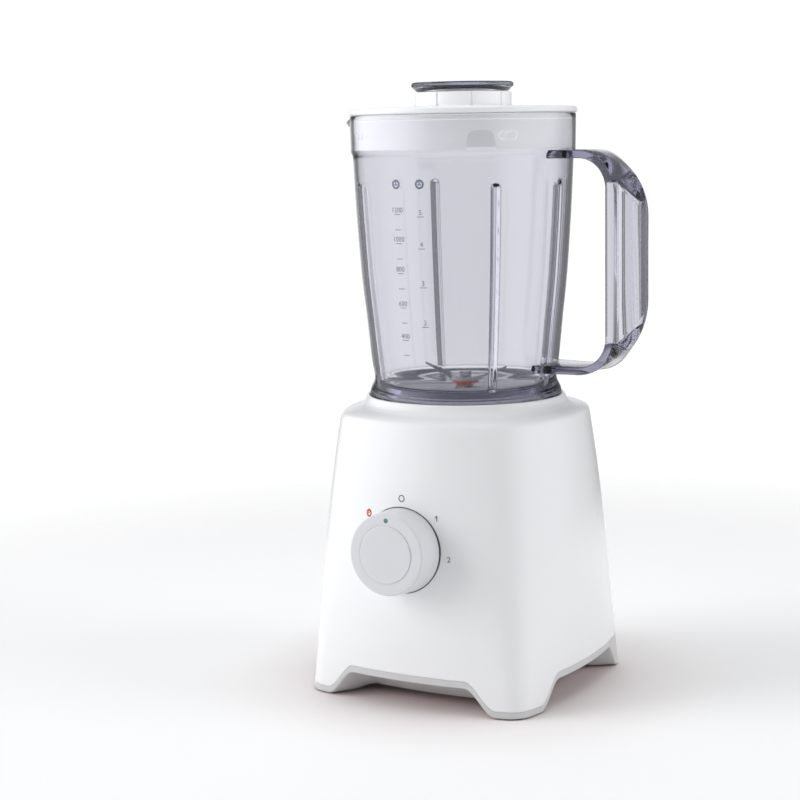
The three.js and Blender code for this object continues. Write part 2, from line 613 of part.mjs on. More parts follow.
// ---------------------------------------------------------------- lid and cap
function lid() {
  const { r, bottom, top, skirtR, skirtWall, skirtZ } = LID;
  const skirtInside = skirtR - skirtWall;
  const shell = turned([
    [r - 0.6, bottom], [r, bottom + 0.6], [r, bottom + LID.rim], ...LID_DOME, [NECK.r, top],
    [NECK.r, NECK.top], [NECK.bore, NECK.top], [NECK.bore, bottom - 1], [skirtInside, bottom - 1],
    [skirtInside, skirtZ], [skirtR, skirtZ], [skirtR, bottom],
  ]);
  const { half, high, count, first } = LID_NOTCH;
  const notch = box([skirtInside - half, -half, skirtZ - 1], [r, half, skirtZ + high]);
  const sealGroove = tube(
    skirtR + 1, SEAL.inner - GAP, SEAL.z - GAP, SEAL.z + SEAL.thick + GAP, FACETS.body,
  );
  const groove = box([NECK.r - GROOVE.deep, -GROOVE.half, top + 0.5], [r, GROOVE.half, NECK.top + 1]);
  return cut(shell, [
    sealGroove, ...around(notch, count, first), ...around(groove, GROOVE.count, GROOVE.first),
  ]);
}

// A measuring cup with a wide top, upside down in the lid's neck.
function fillerCap() {
  const { r, top, bottom, bodyR, wall, thick } = CAP;
  const inside = bodyR - wall;
  const seat = NECK.top + GAP;
  return turned([
    [0, top - thick], [inside, top - thick], [inside, bottom], [bodyR, bottom], [bodyR, seat],
    [bodyR + 1.4, seat], [r - 1.7, top - thick], [r, top - 2.2], [r, top - 1], [r - 1, top],
    [0, top],
  ], FACETS.disc);
}

// ---------------------------------------------------------------- knob
function knobShell() {
  const { r, faceR, deep, wall } = KNOB;
  const face = deep - KNOB_DISC.rise;
  const inside = face - wall;
  const { r: stemR, from, socketEnd } = KNOB_STEM;
  const socketR = SPINDLE.r + GAP;
  return turned([
    [0, deep], [KNOB_DISC.r - 0.5, deep], [KNOB_DISC.r, face], [faceR - 1.6, face],
    [faceR, face - 1.5], [r, 1], [r - wall, 1], [faceR - wall, inside], [stemR, inside],
    [stemR, from], [socketR, from], [socketR, socketEnd], [0, socketEnd],
  ], FACETS.disc);
}

// ---------------------------------------------------------------- assembly
const blender = new THREE.Group();

function group(parent = blender) {
  const made = new THREE.Group();
  parent.add(made);
  return made;
}

function put(parent, name, solid, material, position = [0, 0, 0]) {
  const mesh = new THREE.Mesh(geometryOf(solid), material);
  mesh.name = name;
  mesh.position.set(...position);
  parent.add(mesh);
}

const base = group();
put(base, "housing", housing(), white);
put(base, "base_plate", basePlate(), trimGrey);
put(base, "cord_gland", cordGland(), rubber);
put(base, "knob_bezel", onKnobAxis(tube(KNOB.r + 0.5, 8, GAP, 0.8, FACETS.disc)), darkGrey);
put(base, "rotary_switch", rotarySwitch(), black);
for (const [x, y] of CORNERS) {
  const corner = `${y < 0 ? "front" : "rear"}_${x < 0 ? "left" : "right"}`;
  const place = (distance) => [x * distance, y * distance, 0];
  put(base, `foot_${corner}`, rod(FOOT.r, 0, FOOT.high), rubber, place(FOOT.at));
  put(base, `base_screw_${corner}`, baseScrew(), steel, place(BASE_SCREW.at));
  const isolator = rod(ISOLATOR.r, ISOLATOR.bottom, ISOLATOR.top);
  put(base, `motor_isolator_${corner}`, isolator, rubber, place(ISOLATOR.at));
}

put(base, "stator_core", stator(), lamination);
put(base, "field_coil_rear", fieldCoil(), copper);
put(base, "field_coil_front", turnedAbout(fieldCoil(), 180), copper);
put(base, "motor_bracket_upper", bracket(UPPER_BRACKET), steel);
put(base, "motor_bracket_lower", bracket(LOWER_BRACKET), steel);
const shaftBore = MOTOR_SHAFT.r + GAP;
for (const level of ["upper", "lower"]) {
  const bearing = tube(BRACKET.bearingR, shaftBore, BEARING[level], BEARING[level] + BEARING.high);
  put(base, `bearing_${level}`, bearing, bronze);
}
for (const [side, x, degrees] of [["left", -1, 180], ["right", 1, 0]]) {
  const bolt = rod(BOLT.r, BOLT.bottom, BOLT.top, FACETS.screw);
  put(base, `motor_bolt_${side}`, bolt, steel, [x * BOLT.x, 0, 0]);
  put(base, `brush_holder_${side}`, turnedAbout(brushHolder(), degrees), black);
  put(base, `carbon_brush_${side}`, turnedAbout(carbonBrush(), degrees), darkGrey);
}
const capacitorHalf = CAPACITOR.size.map((v) => v / 2);
const capacitor = box(capacitorHalf.map((v) => -v), capacitorHalf);
put(base, "suppressor_capacitor", capacitor, black, CAPACITOR.at);

const rotor = group();
const { r: armatureR, bottom: armatureBottom, top: armatureTop } = ARMATURE;
const armature = tube(armatureR, shaftBore, armatureBottom, armatureTop, FACETS.rotor);
put(rotor, "motor_shaft", rod(MOTOR_SHAFT.r, MOTOR_SHAFT.bottom, MOTOR_SHAFT.top), steel);
put(rotor, "armature_core", armature, lamination);
put(rotor, "armature_winding_upper", tube(WINDING.r, WINDING.inner, ...WINDING.upper), copper);
put(rotor, "armature_winding_lower", tube(WINDING.r, WINDING.inner, ...WINDING.lower), copper);
const commutator = tube(COMMUTATOR.r, shaftBore, COMMUTATOR.bottom, COMMUTATOR.top);
put(rotor, "commutator", commutator, copper);
put(rotor, "cooling_fan", coolingFan(), black);
put(rotor, "drive_coupling", driveCoupling(), darkGrey);

const knob = group();
knob.position.set(KNOB.x, -knobSeat, KNOB.z);
knob.rotation.x = Math.PI / 2 - knobTilt;
put(knob, "knob", knobShell(), knobGrey);
const markerZ = KNOB.deep - KNOB_DISC.rise + GAP;
put(knob, "knob_marker", rod(MARKER.r, 0, MARKER.thick), blueGrey, [0, MARKER.at, markerZ]);
put(knob, "knob_spindle", rod(SPINDLE.r, SPINDLE.from, KNOB_STEM.socketEnd - GAP), steel);

const jugGroup = group();
put(jugGroup, "jug", jug(), clear);
put(jugGroup, "jug_handle", jugHandle(), clear);

const bladeUnit = group();
const { outer: sealOuter, inner: sealInner, bottom: sealBottom, top: sealTop } = HOLDER_SEAL;
const holderSeal = tube(sealOuter, sealInner, sealBottom, sealTop, FACETS.disc);
put(bladeUnit, "blade_holder", bladeHolder(), darkGrey);
put(bladeUnit, "holder_seal", holderSeal, silicone);
put(bladeUnit, "holder_bush", tube(BUSH.r, BLADE_SHAFT.r + GAP, BUSH.bottom, BUSH.top), bronze);

const blades = group();
put(blades, "blade_shaft", bladeShaft(), steel);
put(blades, "driven_coupling", drivenCoupling(), darkGrey);
put(blades, "blade_hub", bladeHub(), red);
put(blades, "blade_lower", blade(LOWER_BLADE), steel);
put(blades, "blade_upper", blade(UPPER_BLADE), steel);
put(blades, "blade_nut", bladeNut(), steel);

const lidGroup = group();
const lidSeal = tube(SEAL.outer, SEAL.inner, SEAL.z, SEAL.z + SEAL.thick, FACETS.body);
put(lidGroup, "lid", lid(), white);
put(lidGroup, "lid_seal", lidSeal, silicone);
put(group(lidGroup), "filler_cap", fillerCap(), smoke);

// Stand it with the origin at the middle of its outline on the table.
const outline = new THREE.Box3().setFromObject(blender);
const middle = outline.getCenter(new THREE.Vector3());
blender.position.set(-middle.x, -middle.y, -outline.min.z);

export default blender;
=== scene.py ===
"""Looks of a countertop blender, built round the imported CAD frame.

Lengths in this file are millimetres about the motor's axis, with the table at z 0, and at() turns
them into the frame's metres. The knob faces -Y, the handle reaches along +X, the lip along -X.
"""

import json
import math
from math import cos, hypot, pi, radians, sin

import bmesh
import bpy
from mathutils import Matrix, Vector

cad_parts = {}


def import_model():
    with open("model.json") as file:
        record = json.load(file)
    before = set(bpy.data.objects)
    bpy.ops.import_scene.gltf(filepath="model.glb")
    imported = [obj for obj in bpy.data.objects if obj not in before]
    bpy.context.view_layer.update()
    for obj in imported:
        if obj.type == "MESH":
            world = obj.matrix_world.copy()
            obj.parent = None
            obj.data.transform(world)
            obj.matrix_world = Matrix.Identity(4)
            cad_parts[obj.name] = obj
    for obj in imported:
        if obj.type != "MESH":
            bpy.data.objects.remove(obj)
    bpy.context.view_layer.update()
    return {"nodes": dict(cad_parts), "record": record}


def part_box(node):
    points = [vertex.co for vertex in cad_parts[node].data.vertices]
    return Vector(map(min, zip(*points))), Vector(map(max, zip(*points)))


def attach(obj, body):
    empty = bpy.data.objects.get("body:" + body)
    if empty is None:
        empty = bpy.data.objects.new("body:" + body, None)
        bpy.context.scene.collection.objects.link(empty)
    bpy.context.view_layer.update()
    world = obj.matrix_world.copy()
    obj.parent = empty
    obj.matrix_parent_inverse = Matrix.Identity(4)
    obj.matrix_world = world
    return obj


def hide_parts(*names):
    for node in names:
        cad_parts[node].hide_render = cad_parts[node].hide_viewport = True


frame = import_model()

MM = 0.001
WELD_DISTANCE = 1e-7
ON_AXIS = 1e-6
shaft_low, shaft_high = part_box("motor_shaft")
AXIS = Vector(((shaft_low[0] + shaft_high[0]) / 2, (shaft_low[1] + shaft_high[1]) / 2, 0))

# ---------- sizes, as in the CAD
BASE_HALF = 84.4
TOP_HALF_LOSS = 7.7
SHOULDER_Z = 174.5
CORNER_R = (16, 39.6)
FACE_BOW = (1 / 330, 1 / 108)
EDGE_Z = 5
ARCH_Z = 21.8
ARCH_FLAT, ARCH_END = 40, 60
SIDE_ARCH_Y = 5
SHOULDER_CIRCLE = 67
GAP = 0.3

SEAT_Z = 178
SEAT_R = 61.9
COLLAR_Z = 188

FOOT_AT, SCREW_AT = 68, 50
CORNERS = ((-1, -1, "front_left"), (1, -1, "front_right"), (-1, 1, "rear_left"), (1, 1, "rear_right"))
CORD_Z, CORD_HOLE_R = 33, 6.3
PAN_FACE_R, PAN_CORNER_R = 330, 13

JUG_TOP = 364.8
JUG_WALL = 2.6
JUG_FLOOR_Z = 193
JUG_OUTSIDE = [
    (60.6, SEAT_Z + GAP), (60.7, 186), (61.5, 189), (60.9, 192), (58.6, 197), (58.5, 201),
    (60, 210), (62.6, 236), (65.6, 265), (68.3, 305), (69.8, 337), (71.1, 342), (71.4, JUG_TOP),
]
SPOUT_REACH, SPOUT_HALF, SPOUT_FOOT = 15, 0.34, 348
SPOUT_SHARPNESS, SPOUT_DROOP = 1.5, 0.2
RIB_ANGLES = (0, 45, 135, 225, 315)
RIB_TOP = 320
RIB_DEPTH = 4.4
RIB_CREST, RIB_EDGE = 0.5, 3.3  # from the rib's middle to where its round top begins and ends
RIB_WALL_R = 62

ARM_TOP, ARM_BOTTOM, ARM_THICK = 342, 204.8, 5
GRIP_INSIDE, GRIP_RIDGE, GRIP_HALF, RIDGE_HALF = 104.5, 125, 16, 4
BEND_INSIDE, BEND_RIDGE_TOP, BEND_RIDGE_BOTTOM = 18, 41, 47
ARM_START_TOP, ARM_START_BOTTOM = 65, 55  # inside the jug's wall, which then trims the arms
ARM_FLARE = 3.5
RIDGE_RISE = 0.4
CHANNEL_Z, PANEL_Z = (224, 323), (224.5, 322.5)

LID_R, LID_BOTTOM, LID_TOP = 72.25, 365.1, 370
GLOW_FROM_R = 64
SKIRT_R, SKIRT_INSIDE, SKIRT_Z = 68.7, 66.5, 343.3
NOTCH_AT, LOCK_AT, LOCK_Z = 37, 51, 351.6
GROOVES, GROOVE_AT = 9, 28
NECK_R, NECK_TOP = 31, 378.8
CAP_R, CAP_TOP = 32.3, 385

KNOB_X, KNOB_Z = -2.2, 99.9
KNOB_R = 26.5
KNOB_DEEP = 21.8
KNOB_RECESS = 2.7

INK_HALF = 0.04
FONT_SIZE_PER_HEIGHT = 1.4


def mix(a, b, t):
    return a + (b - a) * t


def smooth(low, high, v):
    t = min(1, max(0, (v - low) / (high - low)))
    return t * t * (3 - 2 * t)


def at(x, y, z):
    return AXIS + Vector((x, y, z)) * MM


# ---------- mesh helpers
def placed_mesh(name, part, placed=None, weld=False):
    """A mesh from a part drawn in millimetres, with its faces turned outwards."""
    mesh = bpy.data.meshes.new(name)
    where = placed or (lambda p: at(*p))
    verts, faces = part
    mesh.from_pydata([where(p) for p in verts], [], faces)
    bm = bmesh.new()
    bm.from_mesh(mesh)
    if weld:
        bmesh.ops.remove_doubles(bm, verts=bm.verts, dist=WELD_DISTANCE)
    bmesh.ops.recalc_face_normals(bm, faces=bm.faces)
    bm.to_mesh(mesh)
    bm.free()
    return mesh


def make(name, part, material, body, replaces=(), sharp=35, placed=None):
    """A smooth-shaded piece that rides on a body and may stand for CAD nodes."""
    piece = bpy.data.objects.new(name, placed_mesh(name, part, placed, weld=True))
    bpy.context.collection.objects.link(piece)
    dress(piece, sharp, material)
    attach(piece, body)
    if replaces:
        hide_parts(*replaces)
    return piece


def dress(piece, sharp, *materials):
    """Gives a piece its materials and smooth shading, which it needs again after a cut."""
    mesh = piece.data
    mesh.materials.clear()
    for material in materials:
        mesh.materials.append(material)
    mesh.polygons.foreach_set("use_smooth", [True] * len(mesh.polygons))
    mesh.set_sharp_from_angle(angle=radians(sharp))


def skin(rings, loop=True):
    """Faces over rings of equal length: looped back to the first ring, or capped at both ends."""
    count = len(rings[0])
    verts = [p for ring in rings for p in ring]
    faces = []
    spans = len(rings) if loop else len(rings) - 1
    for k in range(spans):
        a, b = k * count, ((k + 1) % len(rings)) * count
        for i in range(count):
            j = (i + 1) % count
            faces.append((a + i, a + j, b + j, b + i))
    if not loop:
        faces.append(tuple(range(count))[::-1])
        last = (len(rings) - 1) * count
        faces.append(tuple(last + i for i in range(count)))
    return verts, faces


def lathe(profile, facets=96):
    """Points and faces of a turned solid. A profile that starts on the axis is capped by fans."""
    verts, faces, rows = [], [], []
    for r, z in profile:
        if r < ON_AXIS:
            rows.append([len(verts)])
            verts.append((0, 0, z))
        else:
            rows.append(list(range(len(verts), len(verts) + facets)))
            verts += [(r * cos(t), r * sin(t), z) for t in (2 * pi * i / facets for i in range(facets))]
    closed = profile[0][0] > ON_AXIS
    pairs = list(zip(rows, rows[1:])) + ([(rows[-1], rows[0])] if closed else [])
    for a, b in pairs:
        for i in range(facets):
            j = (i + 1) % facets
            if len(a) == 1 and len(b) == 1:
                continue
            if len(a) == 1:
                faces.append((a[0], b[j], b[i]))
            elif len(b) == 1:
                faces.append((a[i], a[j], b[0]))
            else:
                faces.append((a[i], a[j], b[j], b[i]))
    return verts, faces


def rod(r, z0, z1, facets=48):
    return lathe([(0, z0), (r, z0), (r, z1), (0, z1)], facets)


# A fillet takes at most this share of the edges beside it.
FILLET_SHARE, LOOP_SHARE = 0.49, 0.45


def rounded_corner(before, here, after, size, steps, share):
    """A quadratic round from the edge before a corner to the edge after it."""
    start = here + (before - here).normalized() * min(size, (before - here).length * share)
    end = here + (after - here).normalized() * min(size, (after - here).length * share)
    places = [s / steps for s in range(steps + 1)]
    return [tuple(start * (1 - t) ** 2 + here * 2 * t * (1 - t) + end * t * t) for t in places]


def filleted(profile, steps=5):
    """(r, z) or (r, z, fillet) points, with each fillet drawn as a quadratic round."""
    out = []
    count = len(profile)
    closed = profile[0][0] > ON_AXIS
    for k, point in enumerate(profile):
        here = Vector(point[:2])
        size = point[2] if len(point) > 2 else 0
        if not size or (not closed and k in (0, count - 1)):
            out.append(tuple(here))
            continue
        before, after = Vector(profile[k - 1][:2]), Vector(profile[(k + 1) % count][:2])
        out += rounded_corner(before, here, after, size, steps, FILLET_SHARE)
    return out


def through(points, steps=4):
    """A Catmull-Rom curve through 2D points."""
    pts = [Vector(p) for p in points]
    pts = [pts[0] * 2 - pts[1], *pts, pts[-1] * 2 - pts[-2]]
    out = []
    for k in range(1, len(pts) - 2):
        p0, p1, p2, p3 = pts[k - 1 : k + 3]
        for s in range(steps):
            t = s / steps
            out.append(
                0.5 * (2 * p1 + (p2 - p0) * t + (2 * p0 - 5 * p1 + 4 * p2 - p3) * t * t
                       + (3 * p1 - p0 - 3 * p2 + p3) * t ** 3)
            )
    out.append(pts[-2])
    return [tuple(p) for p in out]


def box_mesh(low, high):
    (x0, y0, z0), (x1, y1, z1) = low, high
    verts = [(x, y, z) for z in (z0, z1) for x, y in ((x0, y0), (x1, y0), (x1, y1), (x0, y1))]
    faces = [(3, 2, 1, 0), (4, 5, 6, 7), (0, 1, 5, 4), (1, 2, 6, 5), (2, 3, 7, 6), (3, 0, 4, 7)]
    return verts, faces


def prism(outline, z0, z1):
    count = len(outline)
    verts = [(x, y, z) for z in (z0, z1) for x, y in outline]
    faces = [tuple(range(count))[::-1], tuple(range(count, 2 * count))]
    faces += [(i, (i + 1) % count, count + (i + 1) % count, count + i) for i in range(count)]
    return verts, faces


def merged(parts):
    verts, faces = [], []
    for part_verts, part_faces in parts:
        start = len(verts)
        verts += part_verts
        faces += [tuple(start + i for i in face) for face in part_faces]
    return verts, faces


def turned_about(part, degrees):
    c, s = cos(radians(degrees)), sin(radians(degrees))
    return [(c * x - s * y, s * x + c * y, z) for x, y, z in part[0]], part[1]


def moved(part, x, y, z=0):
    return [(px + x, py + y, pz + z) for px, py, pz in part[0]], part[1]


def combine(piece, part, operation, placed=None):
    """Cuts a part out of a piece, or joins it on, and keeps only the result."""
    tool = bpy.data.objects.new("tool", placed_mesh("tool", part, placed))
    bpy.context.collection.objects.link(tool)
    modifier = piece.modifiers.new("combine", "BOOLEAN")
    modifier.operation = operation
    modifier.solver = "EXACT"
    modifier.object = tool
    graph = bpy.context.evaluated_depsgraph_get()
    result = bpy.data.meshes.new_from_object(piece.evaluated_get(graph), depsgraph=graph)
    piece.modifiers.clear()
    piece.data = result
    bpy.data.objects.remove(tool)


# ---------- materials
def new_material(name):
    material = bpy.data.materials.new(name)
    material.use_nodes = True
    nodes = material.node_tree.nodes
    nodes.clear()
    output = nodes.new("ShaderNodeOutputMaterial")
    shader = nodes.new("ShaderNodeBsdfPrincipled")
    material.node_tree.links.new(shader.outputs[0], output.inputs["Surface"])
    return material, nodes, material.node_tree.links, shader, output


def settings(node, **values):
    """Sets a shader node's inputs: base_color stands for the input called Base Color."""
    for name, value in values.items():
        label = name.replace("_", " ").title().replace("Ior", "IOR")
        node.inputs[label].default_value = value


def noise(nodes, links, scale, detail=3.0, stretch=(1, 1, 1)):
    """Object-space noise, its scale in features per metre."""
    coords = nodes.new("ShaderNodeTexCoord")
    mapping = nodes.new("ShaderNodeMapping")
    settings(mapping, scale=stretch)
    texture = nodes.new("ShaderNodeTexNoise")
    settings(texture, scale=scale, detail=detail)
    links.new(coords.outputs["Object"], mapping.inputs["Vector"])
    links.new(mapping.outputs[0], texture.inputs["Vector"])
    return texture.outputs["Fac"]


def ramp(nodes, links, source, low, high):
    """Two colours mixed by a source from 0.3 to 0.7."""
    node = nodes.new("ShaderNodeValToRGB")
    node.color_ramp.elements[0].position = 0.3
    node.color_ramp.elements[1].position = 0.7
    node.color_ramp.elements[0].color = (*low, 1)
    node.color_ramp.elements[1].color = (*high, 1)
    links.new(source, node.inputs[0])
    return node.outputs[0]


def spread(nodes, links, source, low, high):
    node = nodes.new("ShaderNodeMapRange")
    settings(node, to_min=low, to_max=high)
    links.new(source, node.inputs["Value"])
    return node.outputs[0]


def bump(nodes, links, shader, source, strength, distance):
    node = nodes.new("ShaderNodeBump")
    settings(node, strength=strength, distance=distance)
    links.new(source, node.inputs["Height"])
    links.new(node.outputs[0], shader.inputs["Normal"])


def plastic(name, colour, roughness, tone=0.03, grain=900, bump_size=0.00002, coat=0.0, glow=0.0):
    """Moulded plastic: slight tone drift, uneven polish and a fine surface texture.

    The glow is painted light: an emission that brightens a thin white wall, standing in for light
    scattered through it.
    """
    material, nodes, links, shader, _ = new_material(name)
    drift = noise(nodes, links, 14, 2)
    dark = tuple(c * (1 - tone) for c in colour)
    links.new(ramp(nodes, links, drift, dark, colour), shader.inputs["Base Color"])
    polish = noise(nodes, links, 60, 4)
    links.new(
        spread(nodes, links, polish, roughness * 0.85, roughness * 1.15), shader.inputs["Roughness"]
    )
    bump(nodes, links, shader, noise(nodes, links, grain, 2), 0.35, bump_size)
    settings(
        shader,
        coat_weight=coat, coat_roughness=0.08, emission_color=(1, 1, 1, 1), emission_strength=glow
    )
    return material


def brushed(name, colour, roughness, stretch=(1, 1, 14), scale=900):
    """Metal with drawn-out brush lines."""
    material, nodes, links, shader, _ = new_material(name)
    lines = noise(nodes, links, scale, 3, stretch)
    dark = tuple(c * 0.8 for c in colour)
    links.new(ramp(nodes, links, lines, dark, colour), shader.inputs["Base Color"])
    links.new(
        spread(nodes, links, lines, roughness * 0.7, roughness * 1.3), shader.inputs["Roughness"]
    )
    settings(shader, metallic=1)
    bump(nodes, links, shader, lines, 0.2, 0.00002)
    return material


def banded(name, colour, dark, pitch, metallic, roughness):
    """Fine stacked bands, as laminations or wound wire show."""
    material, nodes, links, shader, _ = new_material(name)
    coords = nodes.new("ShaderNodeTexCoord")
    wave = nodes.new("ShaderNodeTexWave")
    wave.bands_direction = "Z"
    settings(wave, scale=pitch, distortion=0.4)
    links.new(coords.outputs["Object"], wave.inputs["Vector"])
    links.new(ramp(nodes, links, wave.outputs["Fac"], dark, colour), shader.inputs["Base Color"])
    settings(shader, metallic=metallic, roughness=roughness)
    bump(nodes, links, shader, wave.outputs["Fac"], 0.5, 0.0001)
    return material


PLASTIC_IOR = 1.5


def clear(name, tint, roughness, absorb, density):
    """Clear moulded plastic that lets lamps through and darkens along its edges."""
    material, nodes, links, shader, output = new_material(name)
    settings(shader, base_color=(*tint, 1), transmission_weight=1, ior=PLASTIC_IOR)
    polish = noise(nodes, links, 40, 3)
    links.new(
        spread(nodes, links, polish, roughness * 0.5, roughness * 1.5), shader.inputs["Roughness"]
    )
    bump(nodes, links, shader, noise(nodes, links, 55, 2), 0.06, 0.0003)
    passing = nodes.new("ShaderNodeBsdfTransparent")
    settings(passing, color=(*(c**0.5 for c in tint), 1))
    ray = nodes.new("ShaderNodeLightPath")
    pick = nodes.new("ShaderNodeMixShader")
    links.new(ray.outputs["Is Shadow Ray"], pick.inputs[0])
    links.new(shader.outputs[0], pick.inputs[1])
    links.new(passing.outputs[0], pick.inputs[2])
    links.new(pick.outputs[0], output.inputs["Surface"])
    volume = nodes.new("ShaderNodeVolumeAbsorption")
    settings(volume, color=(*absorb, 1), density=density)
    links.new(volume.outputs[0], output.inputs["Volume"])
    return material


# The skirt's white carries a painted glow, an emission that brightens the skirt seen through the jug.
SKIRT_WHITE_PAINTED_GLOW = plastic("skirt_white_painted_glow", (0.94, 0.945, 0.95), 0.3, 0.01, 700, 0.000012, glow=0.175)
# Both lid whites are a lighter copy of the casing's white: painted light that brightens the lid behind
# the jug wall.
LID_WHITE_PAINTED_LIGHT = plastic("lid_white_painted_light", (0.94, 0.945, 0.95), 0.3, 0.01, 700, 0.000012, coat=0.2)
WHITE = plastic("white_gloss", (0.86, 0.865, 0.87), 0.22, 0.012, 700, 0.000012, coat=0.35)
TRIM = plastic("trim_grey", (0.62, 0.625, 0.625), 0.5, 0.04, 1600, 0.00003)
KNOB = plastic("knob_satin", (0.68, 0.685, 0.71), 0.38, 0.03, 1400, 0.00002)
DARK = plastic("dark_moulding", (0.10, 0.105, 0.11), 0.5, 0.1, 1500, 0.00003)
BLACK = plastic("black_moulding", (0.03, 0.03, 0.033), 0.55, 0.15, 1500, 0.00003)
HOLDER = plastic("holder_grey", (0.52, 0.52, 0.55), 0.45, 0.1, 1500, 0.00003)
RED = plastic("red_hub", (0.62, 0.02, 0.03), 0.3, 0.06, 1200, 0.00002)
DOT = plastic("marker_ink", (0.11, 0.20, 0.25), 0.5, 0.05, 2500, 0.00001)
INK = plastic("grey_ink", (0.14, 0.15, 0.17), 0.6, 0.1, 3000, 0.00001)
SCALE_INK = plastic("scale_ink", (0.17, 0.19, 0.27), 0.6, 0.1, 3000, 0.00001)
RED_INK = plastic("red_ink", (0.60, 0.03, 0.03), 0.6, 0.1, 3000, 0.00001)
SILICONE = plastic("silicone", (0.86, 0.86, 0.85), 0.55, 0.05, 900, 0.00003)
RUBBER = plastic("rubber", (0.03, 0.03, 0.032), 0.85, 0.2, 2200, 0.00006)
STEEL = brushed("steel", (0.62, 0.63, 0.64), 0.28)
# A darker copy of the steel: painted shade on the upper blade and the nut.
SHADED_BLADE_STEEL = brushed("shaded_blade_steel", (0.42, 0.43, 0.46), 0.24, (1, 12, 1), 700)
BRONZE = brushed("bronze", (0.45, 0.33, 0.15), 0.45)
LAMINATION = banded("laminations", (0.22, 0.22, 0.23), (0.07, 0.07, 0.08), 900, 1, 0.5)
COPPER = banded("windings", (0.60, 0.25, 0.10), (0.22, 0.07, 0.03), 1100, 0.8, 0.35)
CLEAR = clear("clear_jug", (0.985, 0.985, 0.995), 0.03, (0.42, 0.40, 0.56), 52)
SMOKE = clear("smoked_cap", (0.93, 0.95, 0.98), 0.06, (0.30, 0.38, 0.60), 13)

SLOT_MATERIAL = {
    "white_plastic": WHITE, "trim_plastic": TRIM, "knob_plastic": KNOB, "dark_plastic": DARK,
    "black_plastic": BLACK, "clear_plastic": CLEAR, "smoke_plastic": SMOKE, "red_plastic": RED,
    "marker_paint": DOT, "silicone": SILICONE, "rubber": RUBBER, "steel": STEEL,
    "lamination": LAMINATION, "copper": COPPER, "bronze": BRONZE,
}


# ---------- the base's outline
def square_radius(t, half, face_r, corner_r):
    """Distance from the axis to a rounded square with bowed faces, in the direction t."""
    folded = abs((t + pi / 4) % (pi / 2) - pi / 4)
    back = face_r - half
    reach = face_r - corner_r
    corner = (-2 * back + math.sqrt(8 * reach * reach - 4 * back * back)) / 4
    join = math.atan2(corner, corner + back)
    join_angle = math.atan2(face_r * sin(join), face_r * cos(join) - back)
    if folded < join_angle:
        return -back * cos(folded) + math.sqrt(face_r**2 - (back * sin(folded)) ** 2)
    along = corner * (cos(folded) + sin(folded))
    return along + math.sqrt(corner_r**2 - (2 * corner**2 - along**2))


def half_at(z):
    return BASE_HALF - TOP_HALF_LOSS * (z / SHOULDER_Z) ** 3


def body_radius(t, z, inset=0.0):
    up = z / SHOULDER_Z
    face_r = 1 / mix(*FACE_BOW, up)
    corner_r = mix(*CORNER_R, up)
    return square_radius(t, half_at(z) - inset, face_r - inset, corner_r - inset)


def arch_share(t):
    r = body_radius(t, 0)
    x, y = r * cos(t), r * sin(t)
    along = abs(y - SIDE_ARCH_Y) if abs(x) > abs(y) else abs(x)
    return 1 - smooth(ARCH_FLAT, ARCH_END, along)


def edge_height(t):
    """The casing comes down to the front feet only: the rear feet belong to the pan."""
    return mix(EDGE_Z, ARCH_Z, 1 if sin(t) > 0 else arch_share(t))


BASE_FACETS = 288
CORNER_CROWDING = 0.1  # draws the ring's points together at the corners


def base_ring(radius_at, z_at):
    points = []
    for i in range(BASE_FACETS):
        even = 2 * pi * i / BASE_FACETS
        t = even + CORNER_CROWDING * sin(4 * even)
        r = radius_at(t) if callable(radius_at) else radius_at
        z = z_at(t) if callable(z_at) else z_at
        points.append((r * cos(t), r * sin(t), z))
    return points


# ---------- motor base
knob_tilt = math.atan(3 * TOP_HALF_LOSS * KNOB_Z**2 / SHOULDER_Z**3)
knob_seat = half_at(KNOB_Z) - KNOB_RECESS
KNOB_TURN = Matrix.Rotation(pi / 2 - knob_tilt, 3, "X")


def on_knob(p):
    """A point drawn about the knob's own axis, z 0 on its seat."""
    x, y, z = KNOB_TURN @ Vector(p)
    return at(x + KNOB_X, y - knob_seat, z + KNOB_Z)


WALL_BLEND_Z = 60  # below this the casing's rings follow the arched edge
WALL_LEVELS = (23, 26, 32, 40, 50, 60, 72, 85, 98, 110, 122, 134, 145, 155, 163)
INNER_LEVELS = (163, 125, 80, 60, 40, 25)
CASING_WALL = 2.5


def casing_ring(z, inset=0.0):
    """A ring of the casing's wall, level or blended towards the arched edge."""
    share = (z - ARCH_Z) / (WALL_BLEND_Z - ARCH_Z)

    def height(t):
        return mix(edge_height(t), WALL_BLEND_Z, share) if z < WALL_BLEND_Z else z

    return base_ring(lambda t: body_radius(t, height(t), inset), height)


def casing_lip(inset, rise):
    """A ring of the casing's lower edge."""
    return base_ring(lambda t: body_radius(t, edge_height(t), inset), lambda t: edge_height(t) + rise)


